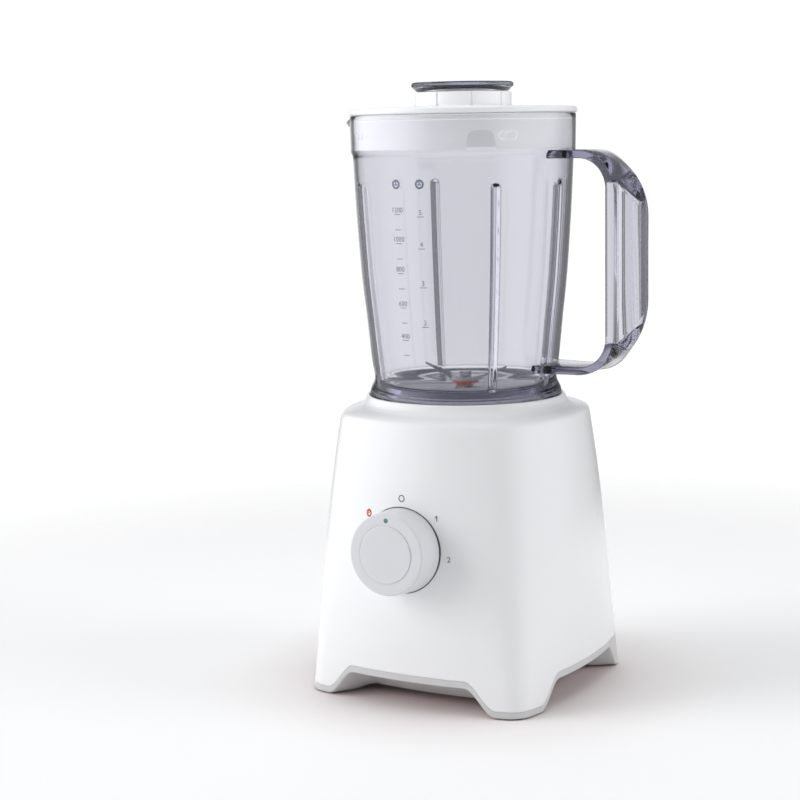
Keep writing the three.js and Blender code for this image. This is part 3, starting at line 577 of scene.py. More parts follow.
def housing():
    """The white casing: bowed faces, arched lower edge, soft shoulder and round jug collar."""
    # Each shoulder point is how far out it stands, from the collar at 0 to the wall at 1, and z.
    shoulder = through([
        (1, 170), (1, 173.2), (0.975, 175.6), (0.9, 177.5), (0.77, 178.7), (0.55, 179.9),
        (0.3, 180.9), (0.12, 181.7), (0, 182.5),
    ])
    collar = through([
        (SHOULDER_CIRCLE, 182.5), (65.8, 183.4), (64.7, 184.9), (64, 186.4), (63.6, 187.4),
        (63.0, 187.9), (62.4, COLLAR_Z),
    ])
    drip_ring = [(20.5, SEAT_Z), (20.5, 180), (20.1, 180.4), (18.4, 180.4), (18, 180)]
    inside = [
        (SEAT_R, COLLAR_Z - 0.4), (SEAT_R, SEAT_Z + 0.6), (SEAT_R - 0.6, SEAT_Z), *drip_ring,
        (18, SEAT_Z - CASING_WALL), (58, SEAT_Z - CASING_WALL),
    ]
    rings = [casing_lip(0.35, 0), casing_lip(0.1, 0.08), casing_lip(0, 0.3)]
    rings += [casing_ring(z) for z in WALL_LEVELS]
    for share, z in shoulder:
        wall_z = min(z, SHOULDER_Z)
        rings.append(base_ring(lambda t: mix(SHOULDER_CIRCLE, body_radius(t, wall_z), share), z))
    rings += [base_ring(r, z) for r, z in collar[1:] + inside]
    rings += [base_ring(lambda t: body_radius(t, 170, 2 * CASING_WALL), 172)]
    rings += [casing_ring(z, CASING_WALL) for z in INNER_LEVELS]
    rings += [casing_lip(CASING_WALL, 0)]
    piece = make("housing_shell", skin(rings), WHITE, "base", ["housing"], 38)
    combine(piece, rod(KNOB_R + 0.45, 0, 12, 160), "DIFFERENCE", on_knob)
    verts, faces = rod(CORD_HOLE_R, -20, 20)
    cord_hole = [(x, BASE_HALF + z, CORD_Z + y) for x, y, z in verts], faces
    combine(piece, cord_hole, "DIFFERENCE")
    dress(piece, 38, WHITE)


PAN_BAND = 4.2
SLOT_PITCH, SLOT_HALF = 11, 2


def base_trim():
    """The grey pan that closes the base: a band under the arches, dished down to the table."""

    def edge_top(t):
        return edge_height(t) - 0.12

    def edge_bottom(t):
        return mix(EDGE_Z, ARCH_Z - GAP, arch_share(t)) - PAN_BAND

    def rim(inset, z_at, rise=0.0):
        return base_ring(lambda t: body_radius(t, z_at(t), inset), lambda t: z_at(t) + rise)

    def dish_radius(t, size):
        return square_radius(t, size, PAN_FACE_R, PAN_CORNER_R)

    def dish(size, z):
        return base_ring(lambda t: dish_radius(t, size), z)

    def sweep(share):
        """Part of the way from the rim down to the dish."""
        def radius(t):
            foot_inset = mix(15, 8, arch_share(t))
            return mix(body_radius(t, edge_bottom(t), foot_inset), dish_radius(t, 58), share)

        return base_ring(radius, lambda t: mix(edge_bottom(t), 4, share**1.3))

    rings = [dish(29, 4), dish(58, 4), sweep(0.75), sweep(0.5), sweep(0.25), sweep(0)]
    rings += [rim(3, edge_bottom), rim(0.9, edge_bottom), rim(0.35, edge_bottom, 0.3),
              rim(0.15, edge_bottom, 0.9), rim(0.15, edge_top, -0.15), rim(0.3, edge_top),
              rim(10, edge_top), dish(60, 7), dish(29, 7)]
    piece = make("base_pan", skin(rings, loop=False), TRIM, "base", ["base_plate"])
    holes = []
    for k in range(-3, 4):
        x, reach = SLOT_PITCH * k, 34 - 4 * abs(k)
        holes.append(box_mesh((x - SLOT_HALF, -reach, 0), (x + SLOT_HALF, reach, 12)))
    for x, y, _ in CORNERS:
        holes.append(moved(rod(4.2, 3, 5.6, 32), SCREW_AT * x, SCREW_AT * y))
        holes.append(moved(rod(6.3, -1, 2, 32), FOOT_AT * x, FOOT_AT * y))
    combine(piece, merged(holes), "DIFFERENCE")
    dress(piece, 35, TRIM)


def feet_and_screws():
    pad = lathe(filleted([(0, 0), (6, 0, 0.5), (6, 1.7, 0.3), (0, 1.7)]), 40)
    head = lathe(filleted([(0, 4.15), (2.9, 4.3), (3.9, 4.9, 0.3), (3.9, 5.3), (1.7, 5.3),
                           (1.7, 24), (0, 24)]), 40)
    cross = box_mesh((-2.2, -0.4, 3), (2.2, 0.4, 4.9)), box_mesh((-0.4, -2.2, 3), (0.4, 2.2, 4.9))
    for x, y, corner in CORNERS:
        make(f"foot_pad_{corner}", moved(pad, FOOT_AT * x, FOOT_AT * y), RUBBER, "base",
             [f"foot_{corner}"])
        screw = make(f"screw_{corner}", moved(head, SCREW_AT * x, SCREW_AT * y), STEEL, "base",
                     [f"base_screw_{corner}"])
        for bar in cross:
            combine(screw, moved(bar, SCREW_AT * x, SCREW_AT * y), "DIFFERENCE")
        dress(screw, 35, STEEL)


def gland():
    """Rubber bush at the back, turned about the line that the cord leaves along."""
    profile = filleted([
        (3.4, -6), (6, -6), (6, 2.8), (8.6, 2.8, 0.6), (8.0, 4.8, 0.8), (5.2, 4.8, 0.4),
        (4.2, 4.4, 0.3), (3.4, 3.4, 0.5),
    ])
    start = half_at(CORD_Z) - CASING_WALL
    verts, faces = lathe(profile, 56)
    bush = [(x, start + z, CORD_Z + y) for x, y, z in verts], faces
    make("cord_bush", bush, RUBBER, "base", ["cord_gland"])


def knob_parts():
    face = KNOB_DEEP - 0.5
    # The dark ring on the recess floor is painted shade: it stands in for the shadowed gap round the
    # knob.
    ring = filleted([(10, 0.3), (KNOB_R + 0.4, 0.3), (KNOB_R + 0.4, 1.2, 0.15), (10, 1.2)])
    make("knob_gap_shade_ring", lathe(ring, 128), DARK, "base", ["knob_bezel"],
         placed=on_knob)
    profile = filleted([
        (0, KNOB_DEEP - 0.1), (17.5, KNOB_DEEP - 0.02, 0.5), (17.75, face - 0.15, 0.15),
        (18.25, face - 0.15, 0.15), (18.45, face, 0.2), (25.25, face - 0.1, 1.1),
        (KNOB_R - 0.1, 1.7, 0.4), (KNOB_R - 2.2, 1.6), (23, face - 2.2, 1), (6, face - 2.2), (6, 4),
        (3.3, 4), (3.3, 12), (0, 12),
    ], 6)
    make("knob_body", lathe(profile, 160), KNOB, "knob", ["knob"], placed=on_knob)
    dot = moved(lathe(filleted([(0, face - 0.3), (1.5, face - 0.3), (1.5, face + 0.02, 0.08),
                                (0, face + 0.05)]), 40), 0, 20.9)
    make("knob_dot", dot, DOT, "knob", ["knob_marker"], placed=on_knob)


# ---------- printed marks
def text_part(body, height):
    """A figure or number as a flat solid: its outline comes from Blender's own font."""
    curve = bpy.data.curves.new("figure", "FONT")
    curve.body = body
    curve.align_x = "CENTER"
    curve.align_y = "CENTER"
    curve.size = height * FONT_SIZE_PER_HEIGHT
    curve.extrude = INK_HALF
    curve.resolution_u = 3
    holder = bpy.data.objects.new("figure", curve)
    bpy.context.collection.objects.link(holder)
    mesh = holder.to_mesh()
    verts = [tuple(v.co) for v in mesh.vertices]
    faces = [tuple(p.vertices) for p in mesh.polygons]
    holder.to_mesh_clear()
    bpy.data.objects.remove(holder)
    return verts, faces


def ring_part(outer, inner, facets=48):
    section = [(inner, -INK_HALF), (outer, -INK_HALF), (outer, INK_HALF), (inner, INK_HALF)]
    return lathe(section, facets)


def bar_part(width, height):
    return box_mesh((-width / 2, -height / 2, -INK_HALF), (width / 2, height / 2, INK_HALF))


def on_front(x, y, z):
    """A mark x across and y above the knob's centre, z proud of the bowed front face."""
    height = KNOB_Z + y
    bow = mix(*FACE_BOW, height / SHOULDER_Z)
    across = KNOB_X + x
    return at(across, -half_at(height) + across**2 * bow / 2 - 0.06 - z, height)


def one_part(height):
    """The figure 1, with its flag."""
    h, w = height / 2, height * 0.085
    outline = [(w, -h), (w, h), (-w * 0.6, h), (-4.4 * w, h - 4 * w), (-3.4 * w, h - 5.6 * w),
               (-w, h - 3.4 * w), (-w, -h)]
    return prism(outline, -INK_HALF, INK_HALF)


DIAL_R = 32.2
PULSE_AT, OFF_AT, SPEED_1_AT, SPEED_2_AT = -49.5, 0, 48, 96


def dial_marks():
    """Off, pulse and two speeds, set out round the knob."""

    def around_knob(part, degrees):
        turn = radians(degrees)
        return moved(part, DIAL_R * sin(turn), DIAL_R * cos(turn))

    def print_on(name, parts, ink):
        make(name, merged(parts), ink, "base", sharp=30, placed=lambda p: on_front(*p))

    marks = [around_knob(ring_part(2.15, 1.55), OFF_AT), around_knob(one_part(3.4), SPEED_1_AT),
             around_knob(text_part("2", 3.5), SPEED_2_AT)]
    print_on("dial_marks", marks, INK)
    verts, faces = ring_part(2.5, 1.6)
    oval = [(x * 0.78, y, z) for x, y, z in verts], faces
    pulse = [around_knob(oval, PULSE_AT), around_knob(text_part("P", 2.6), PULSE_AT)]
    print_on("dial_pulse_mark", pulse, RED_INK)


def jug_radius(z):
    for (r0, z0), (r1, z1) in zip(JUG_OUTSIDE, JUG_OUTSIDE[1:]):
        if z0 <= z <= z1:
            return mix(r0, r1, (z - z0) / (z1 - z0))
    return JUG_OUTSIDE[-1][0]


ML_AT, CUP_AT = -98.2, -84.5
ML_MARKS = ((1200, 307.3), (1000, 289.5), (800, 271.1), (600, 249.9), (400, 229.6))
CUP_MARKS = ((5, 305.9), (4, 286.5), (3, 262.8), (2, 238.4))
FIGURE_HEIGHT, LINE_DROP, HALF_STEP_DROP, LINE_WIDTH = 3.1, 2.5, 11.9, 0.4
SYMBOL_Z = 323


def on_jug(part, degrees, z):
    """A flat part wrapped onto the jug's wall."""

    def wrap(p):
        r = jug_radius(z + p[1]) + 0.1 + p[2]
        t = radians(degrees) + p[0] / r
        return (r * cos(t), r * sin(t), z + p[1])

    return [wrap(p) for p in part[0]], part[1]


def jug_scale():
    """Millilitre and cup scales printed on the jug's front wall, each under a round symbol."""
    marks = []
    for volume, z in ML_MARKS:
        marks.append(on_jug(text_part(str(volume), FIGURE_HEIGHT), ML_AT, z))
        marks.append(on_jug(bar_part(4.4, LINE_WIDTH), ML_AT, z - LINE_DROP))
        marks.append(on_jug(bar_part(4.2, LINE_WIDTH), ML_AT, z - HALF_STEP_DROP))
    for cups, z in CUP_MARKS:
        marks.append(on_jug(text_part(str(cups), FIGURE_HEIGHT), CUP_AT, z))
        marks.append(on_jug(bar_part(4.6, LINE_WIDTH), CUP_AT, z - LINE_DROP))
    for degrees in (ML_AT, CUP_AT):
        marks.append(on_jug(ring_part(2.9, 1.7), degrees, SYMBOL_Z))
        marks.append(on_jug(bar_part(2.4, 0.8), degrees, SYMBOL_Z - 0.3))
        marks.append(on_jug(rod(0.6, -INK_HALF, INK_HALF), degrees, SYMBOL_Z + 0.9))
    make("jug_scale", merged(marks), SCALE_INK, "jug", sharp=30)


# ---------- jug
def spout_reach(t, z):
    off = abs(t % (2 * pi) - pi)
    share = max(0, 1 - off / SPOUT_HALF)
    return SPOUT_REACH * share**SPOUT_SHARPNESS * smooth(SPOUT_FOOT, JUG_TOP, z)


def near_rib(t):
    """How many degrees the direction t is away from the closest rib."""
    return min(abs((math.degrees(t) - rib + 180) % 360 - 180) for rib in RIB_ANGLES)


RIB_STEP, LIP_STEP, WALL_STEP = 0.3, 0.9, 1.5
RIB_SPREAD, LIP_SPREAD = 3.9, 22
NEAR_FULL_TURN = 359.99


def jug_angles():
    """Directions round the jug, close together over the ribs and the lip."""
    angles = []
    degrees = 0.0
    while degrees < NEAR_FULL_TURN:
        angles.append(radians(degrees))
        if near_rib(radians(degrees)) < RIB_SPREAD:
            degrees += RIB_STEP
        else:
            degrees += LIP_STEP if abs(degrees - 180) < LIP_SPREAD else WALL_STEP
    return angles


def rib_height(t, z):
    """How far a mixing rib stands in from the wall: a round-topped bead that dies into the wall."""
    if z > RIB_TOP + 4:
        return 0
    across = radians(near_rib(t)) * RIB_WALL_R
    off = hypot(across, max(0, z - RIB_TOP))
    return RIB_DEPTH * (1 - smooth(RIB_CREST, RIB_EDGE, off))


WALL_KNOTS = (
    201, 205, 210, 222, 236, 250, 265, 285, 300, 312, 316, 318, 319, 320, 320.7, 321.4, 322.1, 322.8,
    323.5, 324.2, 328, 333,
)


def jug_part():
    """The jug without its handle, ring by ring: foot, outside, then the inside with its ribs."""
    angles = jug_angles()
    foot = filleted([
        (46, 189.2), (50, 189.2), (50, 181, 0.5), (52.6, 181, 0.5), (52.6, 189.2), (56, 189.2),
        (58.2, 185), (58.2, SEAT_Z + GAP, 0.4),
    ])
    # The first two points of the step only steer its first fillet.
    step = filleted([(0, 0), (69.9, 337.5), (70.0, 339.6, 0.8), (71.1, 342, 1.2), (71.3, 354)])[2:]
    brim = [(71.4, 358), (71.4, 361), (71.4, 364.2), (71.1, 364.7), (70.5, JUG_TOP)]
    wall_low, wall_high = through(JUG_OUTSIDE[:6], 4)[:-1], through(JUG_OUTSIDE[5:11], 6)
    outside = wall_low + wall_high + step + brim
    inside = filleted([
        (46, 189.2), (46, JUG_FLOOR_Z, 0.6), (53.2, JUG_FLOOR_Z, 2.5), (55.6, 196.6, 1.5),
        *((jug_radius(z) - JUG_WALL, z) for z in WALL_KNOTS), (67.3, 337.4), (67.6, 339.6, 1),
        (69.2, 342.6, 1), (69.4, 350), (69.4, 357), (69.5, 364.3), (69.9, 364.75),
    ])[1:]

    def ring(r, z, ribbed):
        points = []
        for t in angles:
            lip = spout_reach(t, z)
            reach = r + lip - (rib_height(t, z) if ribbed and z > JUG_FLOOR_Z + 0.5 else 0)
            points.append((reach * cos(t), reach * sin(t), z - SPOUT_DROOP * lip))
        return points

    rings = [ring(r, z, False) for r, z in foot + outside]
    rings += [ring(r, z, True) for r, z in reversed(inside)]
    return skin(rings)


BEND_STEPS, GRIP_STEPS, ARM_STEPS = 16, 8, 4


def handle_line(x, top, bottom, top_bend, bottom_bend):
    """Along the top arm, round a bend, down the grip, round a bend, back along the bottom arm."""

    def arc(bend, centre_z, start):
        turns = [start - pi / 2 * i / BEND_STEPS for i in range(BEND_STEPS + 1)]
        return [(x - bend + bend * cos(turn), centre_z + bend * sin(turn)) for turn in turns]

    def between(start, end, count):
        return [tuple(Vector(start).lerp(Vector(end), i / count)) for i in range(1, count)]

    upper = arc(top_bend, top - top_bend, pi / 2)
    lower = arc(bottom_bend, bottom + bottom_bend, 0)
    first, last = (ARM_START_TOP, top), (ARM_START_BOTTOM, bottom)
    return [
        first, *between(first, upper[0], ARM_STEPS), *upper,
        *between(upper[-1], lower[0], GRIP_STEPS), *lower,
        *between(lower[-1], last, ARM_STEPS), last,
    ]


def rounded_loop(corners, sizes, steps=4):
    """A closed 3D loop with its corners rounded."""
    out = []
    count = len(corners)
    for k in range(count):
        before, after = corners[k - 1], corners[(k + 1) % count]
        out += rounded_corner(before, corners[k], after, sizes[k], steps, LOOP_SHARE)
    return out


def handle_part():
    """A strap whose outside rises to a ridge along the grip."""
    top, bottom, thick = ARM_TOP, ARM_BOTTOM, ARM_THICK
    bend, outer_bend = BEND_INSIDE, BEND_INSIDE + thick
    inside = handle_line(GRIP_INSIDE, top - thick, bottom + thick, bend, bend)
    strap = handle_line(GRIP_INSIDE + thick, top, bottom, outer_bend, outer_bend)
    ridge = handle_line(
        GRIP_RIDGE, top + RIDGE_RISE, bottom - RIDGE_RISE, BEND_RIDGE_TOP, BEND_RIDGE_BOTTOM
    )
    rings = []
    last = len(inside) - 1
    for i, (a, b, c) in enumerate(zip(inside, strap, ridge)):
        from_jug = min(i, last - i)
        w = GRIP_HALF + ARM_FLARE * max(0, 1 - from_jug / 3)
        corners = [Vector((a[0], -w, a[1])), Vector((a[0], w, a[1])), Vector((b[0], w, b[1])),
                   Vector((c[0], RIDGE_HALF, c[1])), Vector((c[0], -RIDGE_HALF, c[1])),
                   Vector((b[0], -w, b[1]))]
        rings.append(rounded_loop(corners, [0.9, 0.9, 0.8, 2, 2, 0.8]))
    return skin(rings, loop=False)


SLANT = 1.05
CHANNEL_ENDS = ((0, 0.9), (0.5, 0.97), (1.6, 1))  # how far in from the end, and how wide


def slanted(x, span):
    """The two ends of the grip's hollow or of a panel at x, drawn in towards the ridge."""
    low, high = span
    shift = max(0, x - GRIP_INSIDE - ARM_THICK) * SLANT
    return low + shift, high - shift


def channel_part():
    """The hollow of the grip, open towards the jug behind a thick lip, with slanted ends."""
    half = [(102, 9.6, 0.1), (109.6, 9.6, 0.6), (111.2, 11.1, 0.8), (121.6, 2.7, 1.6)]
    near, *rest = half
    corners = [(near[0], -near[1], near[2]), near, *rest]
    corners += [(x, -y, size) for x, y, size in reversed(rest)]
    outline = rounded_loop([Vector((x, y, 0)) for x, y, _ in corners], [c[2] for c in corners], 3)
    lower = [
        [(x, y * width, slanted(x, CHANNEL_Z)[0] + inset) for x, y, _ in outline]
        for inset, width in CHANNEL_ENDS
    ]
    upper = [
        [(x, y * width, slanted(x, CHANNEL_Z)[1] - inset) for x, y, _ in outline]
        for inset, width in reversed(CHANNEL_ENDS)
    ]
    return skin(lower + upper, loop=False)


def panel_part(side):
    """A shallow slanted-ended recess in one flank of the grip."""
    near, far = Vector((110.6, 15.15)), Vector((123.9, 4.85))
    out = Vector((0.612, 0.79))
    rings = []
    for depth in (-0.6, 3):
        ring = []
        for spot, end in ((near, 0), (near, 1), (far, 1), (far, 0)):
            x, y = spot + out * depth
            ring.append((x, y * side, slanted(spot.x, PANEL_Z)[end]))
        rings.append(ring)
    return skin(rings, loop=False)


def jug():
    """Jug and handle are one moulding: the handle is hollowed, then trimmed and joined on."""
    handle = make("handle_moulding", handle_part(), CLEAR, "jug")
    combine(handle, channel_part(), "DIFFERENCE")
    for side in (-1, 1):
        combine(handle, panel_part(side), "DIFFERENCE")
    levels = (190, 200, 210, 236, 265, 305, 337, 350)
    core = [(0, levels[0]), *((jug_radius(z) - JUG_WALL / 2, z) for z in levels), (0, levels[-1])]
    combine(handle, lathe(core, 180), "DIFFERENCE")
    nodes = ["jug", "jug_handle"]
    piece = make("jug_moulding", jug_part(), CLEAR, "jug", nodes, 40)
    matrix = handle.matrix_world.copy()
    joined = [tuple(matrix @ v.co) for v in handle.data.vertices]
    faces = [tuple(p.vertices) for p in handle.data.polygons]
    bpy.data.objects.remove(handle)
    combine(piece, (joined, faces), "UNION", placed=Vector)
    dress(piece, 40, CLEAR)


# ---------- blade unit
def star_outline(core, reach, half, count=6):
    """Outline of a ring of dogs on a round core."""
    points = []
    root = math.asin(half / core)
    tip = math.asin(half / reach)
    for k in range(count):
        middle = 2 * pi * k / count
        for radius, angle in ((core, -root), (reach, -tip), (reach, 0), (reach, tip), (core, root)):
            points.append((radius * cos(middle + angle), radius * sin(middle + angle)))
        for s in range(1, 4):
            angle = middle + root + (2 * pi / count - 2 * root) * s / 4
            points.append((core * cos(angle), core * sin(angle)))
    return points


def couplings():
    star = prism(star_outline(8, 12.5, 2.1), 178.9, 182.3)
    drive = make("drive_star", star, DARK, "rotor", ["drive_coupling"], 30)
    combine(drive, rod(7, 176, 180, 64), "UNION")
    combine(drive, rod(4.2, 170, 190), "DIFFERENCE")
    soften(drive, DARK, 0.35)
    cup = lathe(filleted([(0, 178.7), (17, 178.7, 0.8), (17, 184.4, 0.8), (0, 184.4)]), 96)
    driven = make("driven_cup", cup, DARK, "blades", ["driven_coupling"], 30)
    combine(driven, prism(star_outline(8.7, 13.2, 2.8), 170, 182.9), "DIFFERENCE")
    combine(driven, rod(3.8, 170, 190), "DIFFERENCE")
    soften(driven, DARK, 0.2)


def soften(piece, material, width):
    """Rounds a piece's hard edges."""
    bevel = piece.modifiers.new("edges", "BEVEL")
    bevel.width = width * MM
    bevel.segments = 2
    bevel.limit_method = "ANGLE"
    bevel.angle_limit = radians(40)
    dress(piece, 40, material)


def blade_holder():
    profile = filleted([
        (49.6, 181.2, 0.6), (49.6, 186, 0.6), (45.5, 186), (45.5, 192.4, 0.5), (43.6, 192.4, 0.5),
        (43.6, 187.5, 0.8), (12, 187.5, 1.5), (9.5, 188.4, 0.4), (7.2, 188.4), (7.2, 184.9),
        (43, 184.9), (43, 181.2, 0.4),
    ])
    nodes = ["blade_holder"]
    piece = make("holder_moulding", lathe(profile, 160), HOLDER, "blade_unit", nodes)
    fin = box_mesh((25, -1.5, 180.6), (44, 1.5, 185.3))
    for quarter in range(4):
        combine(piece, turned_about(fin, 45 + 90 * quarter), "UNION")
    dress(piece, 35, HOLDER)


NUT_R = 4.2
BLADE_REACH, BLADE_STEPS, BLADE_THICK, EDGE_THICK = 28.8, 16, 1.2, 0.18
BEND_FROM, BEND_TO = 4, 44


def blade_wing(z, tip_z):
    """Half a blade along +X: it bends to its tip's height, narrows, and is ground along its front."""
    rings = []
    for k in range(BLADE_STEPS + 1):
        x = BLADE_REACH * k / BLADE_STEPS
        share = k / BLADE_STEPS
        bent = smooth(BEND_FROM, BEND_TO, x) / smooth(BEND_FROM, BEND_TO, BLADE_REACH)
        h = z + (tip_z - z) * bent
        back = mix(-5.2, -3.2, share)
        front = mix(5.2, back + 1.0, smooth(0.15, 1.15, share) / smooth(0.15, 1.15, 1))
        ground = min(mix(0.3, 2.4, smooth(0.2, 0.4, share)), (front - back) * 0.7)
        rings.append([(x, back, h), (x, front, h), (x, front, h + EDGE_THICK),
                      (x, front - ground, h + BLADE_THICK), (x, back, h + BLADE_THICK)])
    return skin(rings, loop=False)


def blade_pair(name, node, z, tip_z, angle, steel):
    wing = blade_wing(z, tip_z)
    piece = make(name, turned_about(wing, angle), steel, "blades", [node], 25)
    combine(piece, turned_about(wing, angle + 180), "UNION")
    combine(piece, rod(2.7, z - 3, z + 4), "DIFFERENCE")
    dress(piece, 25, steel)


def blades():
    # The lower blade takes the lighter steel as a painted highlight; the upper blade takes the darker
    # copy, painted shade.
    blade_pair("blade_pair_lower", "blade_lower", 192.7, 189.6, -70, STEEL)
    blade_pair("blade_pair_upper", "blade_upper", 197.8, 204.8, 8, SHADED_BLADE_STEEL)


def hub_and_spindle():
    hub = filleted([(2.7, 194.2), (6.3, 194.2, 0.3), (8.6, 196.1, 0.5), (8.7, 197.5, 0.4),
                    (2.7, 197.5)])
    make("hub_ring", lathe(hub, 72), RED, "blades", ["blade_hub"])
    nut = prism([(NUT_R * cos(pi * k / 3), NUT_R * sin(pi * k / 3)) for k in range(6)], 199.3, 201.4)
    # The nut takes the darker copy of the steel: painted shade.
    piece = make("hub_nut", nut, SHADED_BLADE_STEEL, "blades", ["blade_nut"], 30)
    cone = lathe([(0, 199), (NUT_R, 199), (NUT_R, 200.9), (3.5, 201.4), (0, 201.4)], 64)
    combine(piece, cone, "INTERSECT")
    dress(piece, 30, SHADED_BLADE_STEEL)
    shaft = filleted([
        (0, 183.1), (3.5, 183.1, 0.3), (3.5, 188.8), (4.2, 188.8, 0.2), (5.6, 192.4, 0.3),
        (2.5, 192.4), (2.5, 200.2), (0, 200.2),
    ])
    make("spindle", lathe(shaft, 48), STEEL, "blades", ["blade_shaft"])


def holder_seal():
    seal = filleted([(46.2, 186.3, 0.5), (49.3, 186.3, 0.8), (49.3, 188.9, 0.8), (46.2, 188.9, 0.5)])
    make("holder_gasket", lathe(seal, 128), SILICONE, "blade_unit", ["holder_seal"])


# ---------- lid and cap
def pill(width, height, r0, r1):
    """A round-ended block across the lid's skirt at +X, from one radius to another."""
    outline = []
    half, r = (width - height) / 2, height / 2
    for centre, start in ((half, -pi / 2), (-half, pi / 2)):
        outline += [(centre + r * cos(start + pi * s / 12), r * sin(start + pi * s / 12))
                    for s in range(13)]
    verts, faces = prism(outline, r0, r1)
    return [(z, x, y) for x, y, z in verts], faces


def lid_profile():
    dome = through([(70.6, 369.0), (66, 369.25), (58, 369.5), (48, 369.75), (38, 369.9), (33, 369.98)])
    rim = [(71.5, LID_BOTTOM, 0.3), (LID_R, 365.7, 0.5), (LID_R, 367.9, 0.9), (71.5, 368.85, 0.5)]
    neck = [
        (31.2, LID_TOP + 0.2, 0.8), (NECK_R, 372), (NECK_R, NECK_TOP, 0.7), (28.8, NECK_TOP, 0.5),
        (28.8, 364.1),
    ]
    skirt = [
        (SKIRT_INSIDE, 364.1, 1), (SKIRT_INSIDE, SKIRT_Z, 0.3), (SKIRT_R, SKIRT_Z, 0.4),
        (SKIRT_R, 361.1), (67.6, 361.2), (67.6, 364.1), (68.6, 364.2), (SKIRT_R, LID_BOTTOM, 0.2),
    ]
    return filleted([*rim, *dome, *neck, *skirt], 6)


def lid_notch():
    """One of the four openings in the skirt's lower edge, at +X."""
    side = [(9.7, -2), (9.7, 0), (9.0, 3.4), (8.2, 8.2), (6.8, 10.4), (4.6, 11.4)]
    verts, faces = prism(side + [(-x, y) for x, y in reversed(side)], 60, 75)
    return [(z, x, SKIRT_Z + y) for x, y, z in verts], faces


def lid():
    """Lid with a gripping neck, and a skirt with four notches and four locking marks."""
    piece = make(
        "lid_moulding", lathe(lid_profile(), 240), LID_WHITE_PAINTED_LIGHT, "lid", ["lid"], 40
    )
    for quarter in range(4):
        combine(piece, turned_about(lid_notch(), NOTCH_AT + 90 * quarter), "DIFFERENCE")
    groove = moved(rod(1.15, 370.3, 380, 16), NECK_R + 0.25, 0)
    for k in range(GROOVES):
        combine(piece, turned_about(groove, GROOVE_AT + 360 / GROOVES * k), "DIFFERENCE")
    recess = moved(pill(12.5, 5.6, 67.5, 70), 0, 0, LOCK_Z)
    for quarter in range(4):
        turn = LOCK_AT + 90 * quarter
        combine(piece, turned_about(recess, turn), "DIFFERENCE")
        for across in (-3.3, 3.3):
            boss = moved(pill(4.2, 4.19, 67, 68.9), 0, across, LOCK_Z)
            combine(piece, turned_about(boss, turn), "UNION")
    # Skirt faces beyond GLOW_FROM_R and below the jug's top take the white with the painted glow.
    dress(piece, 40, LID_WHITE_PAINTED_LIGHT, SKIRT_WHITE_PAINTED_GLOW)
    for face in piece.data.polygons:
        out = hypot(*(face.center - AXIS)[:2])
        on_skirt = out > GLOW_FROM_R * MM and face.center.z < JUG_TOP * MM
        face.material_index = 1 if on_skirt else 0


def lid_seal():
    seal = filleted([(67.7, 361.4, 0.4), (69.1, 361.4, 0.9), (69.1, 363.9, 0.9), (67.7, 363.9, 0.4)])
    # The gasket takes the skirt's white with its painted glow.
    make("lid_gasket", lathe(seal, 180), SKIRT_WHITE_PAINTED_GLOW, "lid", ["lid_seal"])


def filler_cap():
    """A measuring cup, upside down, whose wide base closes the neck."""
    profile = filleted([
        (0, 382), (25.5, 382, 1.5), (25.5, 357, 0.3), (27.4, 357, 0.5), (27.4, 379.1, 0.3),
        (29, 379.1, 0.4), (30.8, 381.2, 0.6), (CAP_R, 382.3, 0.6), (CAP_R, 384.2, 0.5),
        (31.4, CAP_TOP, 0.6), (27.5, CAP_TOP, 0.6), (26.8, CAP_TOP - 0.6, 0.4), (0, CAP_TOP - 0.6),
    ], 5)
    make("cap_moulding", lathe(profile, 180), SMOKE, "cap", ["filler_cap"])


# ---------- build
housing()
base_trim()
feet_and_screws()
gland()
knob_parts()
dial_marks()
jug()
jug_scale()
couplings()
blade_holder()
blades()
hub_and_spindle()
holder_seal()
lid()
lid_seal()
filler_cap()

slot_of = {part["node"]: part["material_slot"] for part in frame["record"]["subparts"]}
for name, node in frame["nodes"].items():
    node.data.materials.clear()
    node.data.materials.append(SLOT_MATERIAL[slot_of[name]])

# ---------- stage, light and camera
CAMERA_AZIMUTH = radians(28.07)
CAMERA_DISTANCE = 1203.3
CAMERA_HEIGHT = 352.2
CAMERA_YAW, CAMERA_PITCH, CAMERA_ROLL = radians(2.024), radians(7.993), radians(-0.93)
CAMERA_LENS = 84.70


def camera():
    back = Vector((sin(CAMERA_AZIMUTH), -cos(CAMERA_AZIMUTH), 0))
    place = at(*(back * CAMERA_DISTANCE)[:2], CAMERA_HEIGHT)
    forward = Matrix.Rotation(CAMERA_YAW, 3, "Z") @ -back
    up = Vector((0, 0, 1))
    right = forward.cross(up)
    ahead = forward * cos(CAMERA_PITCH) - up * sin(CAMERA_PITCH)
    above = up * cos(CAMERA_PITCH) + forward * sin(CAMERA_PITCH)
    side = right * cos(CAMERA_ROLL) + above * sin(CAMERA_ROLL)
    top = above * cos(CAMERA_ROLL) - right * sin(CAMERA_ROLL)
    lens = bpy.data.cameras.new("camera")
    lens.lens = CAMERA_LENS
    lens.sensor_width = 36
    lens.clip_start = 0.05
    holder = bpy.data.objects.new("camera", lens)
    turn = Matrix((side, top, -ahead)).transposed().to_4x4()
    holder.matrix_world = Matrix.Translation(place) @ turn
    bpy.context.collection.objects.link(holder)
    bpy.context.scene.camera = holder


LAMP_TARGET = (0, 0, 0.19)
LAMPS = (
    ("key_left", (1.2, 1.6), 23, (-1.6, -1.3, 1.0)),
    ("fill_right", (1.0, 1.6), 12, (1.9, 0.5, 0.9)),
    ("overhead", (1.8, 1.8), 18, (0, 0.2, 1.9)),
)


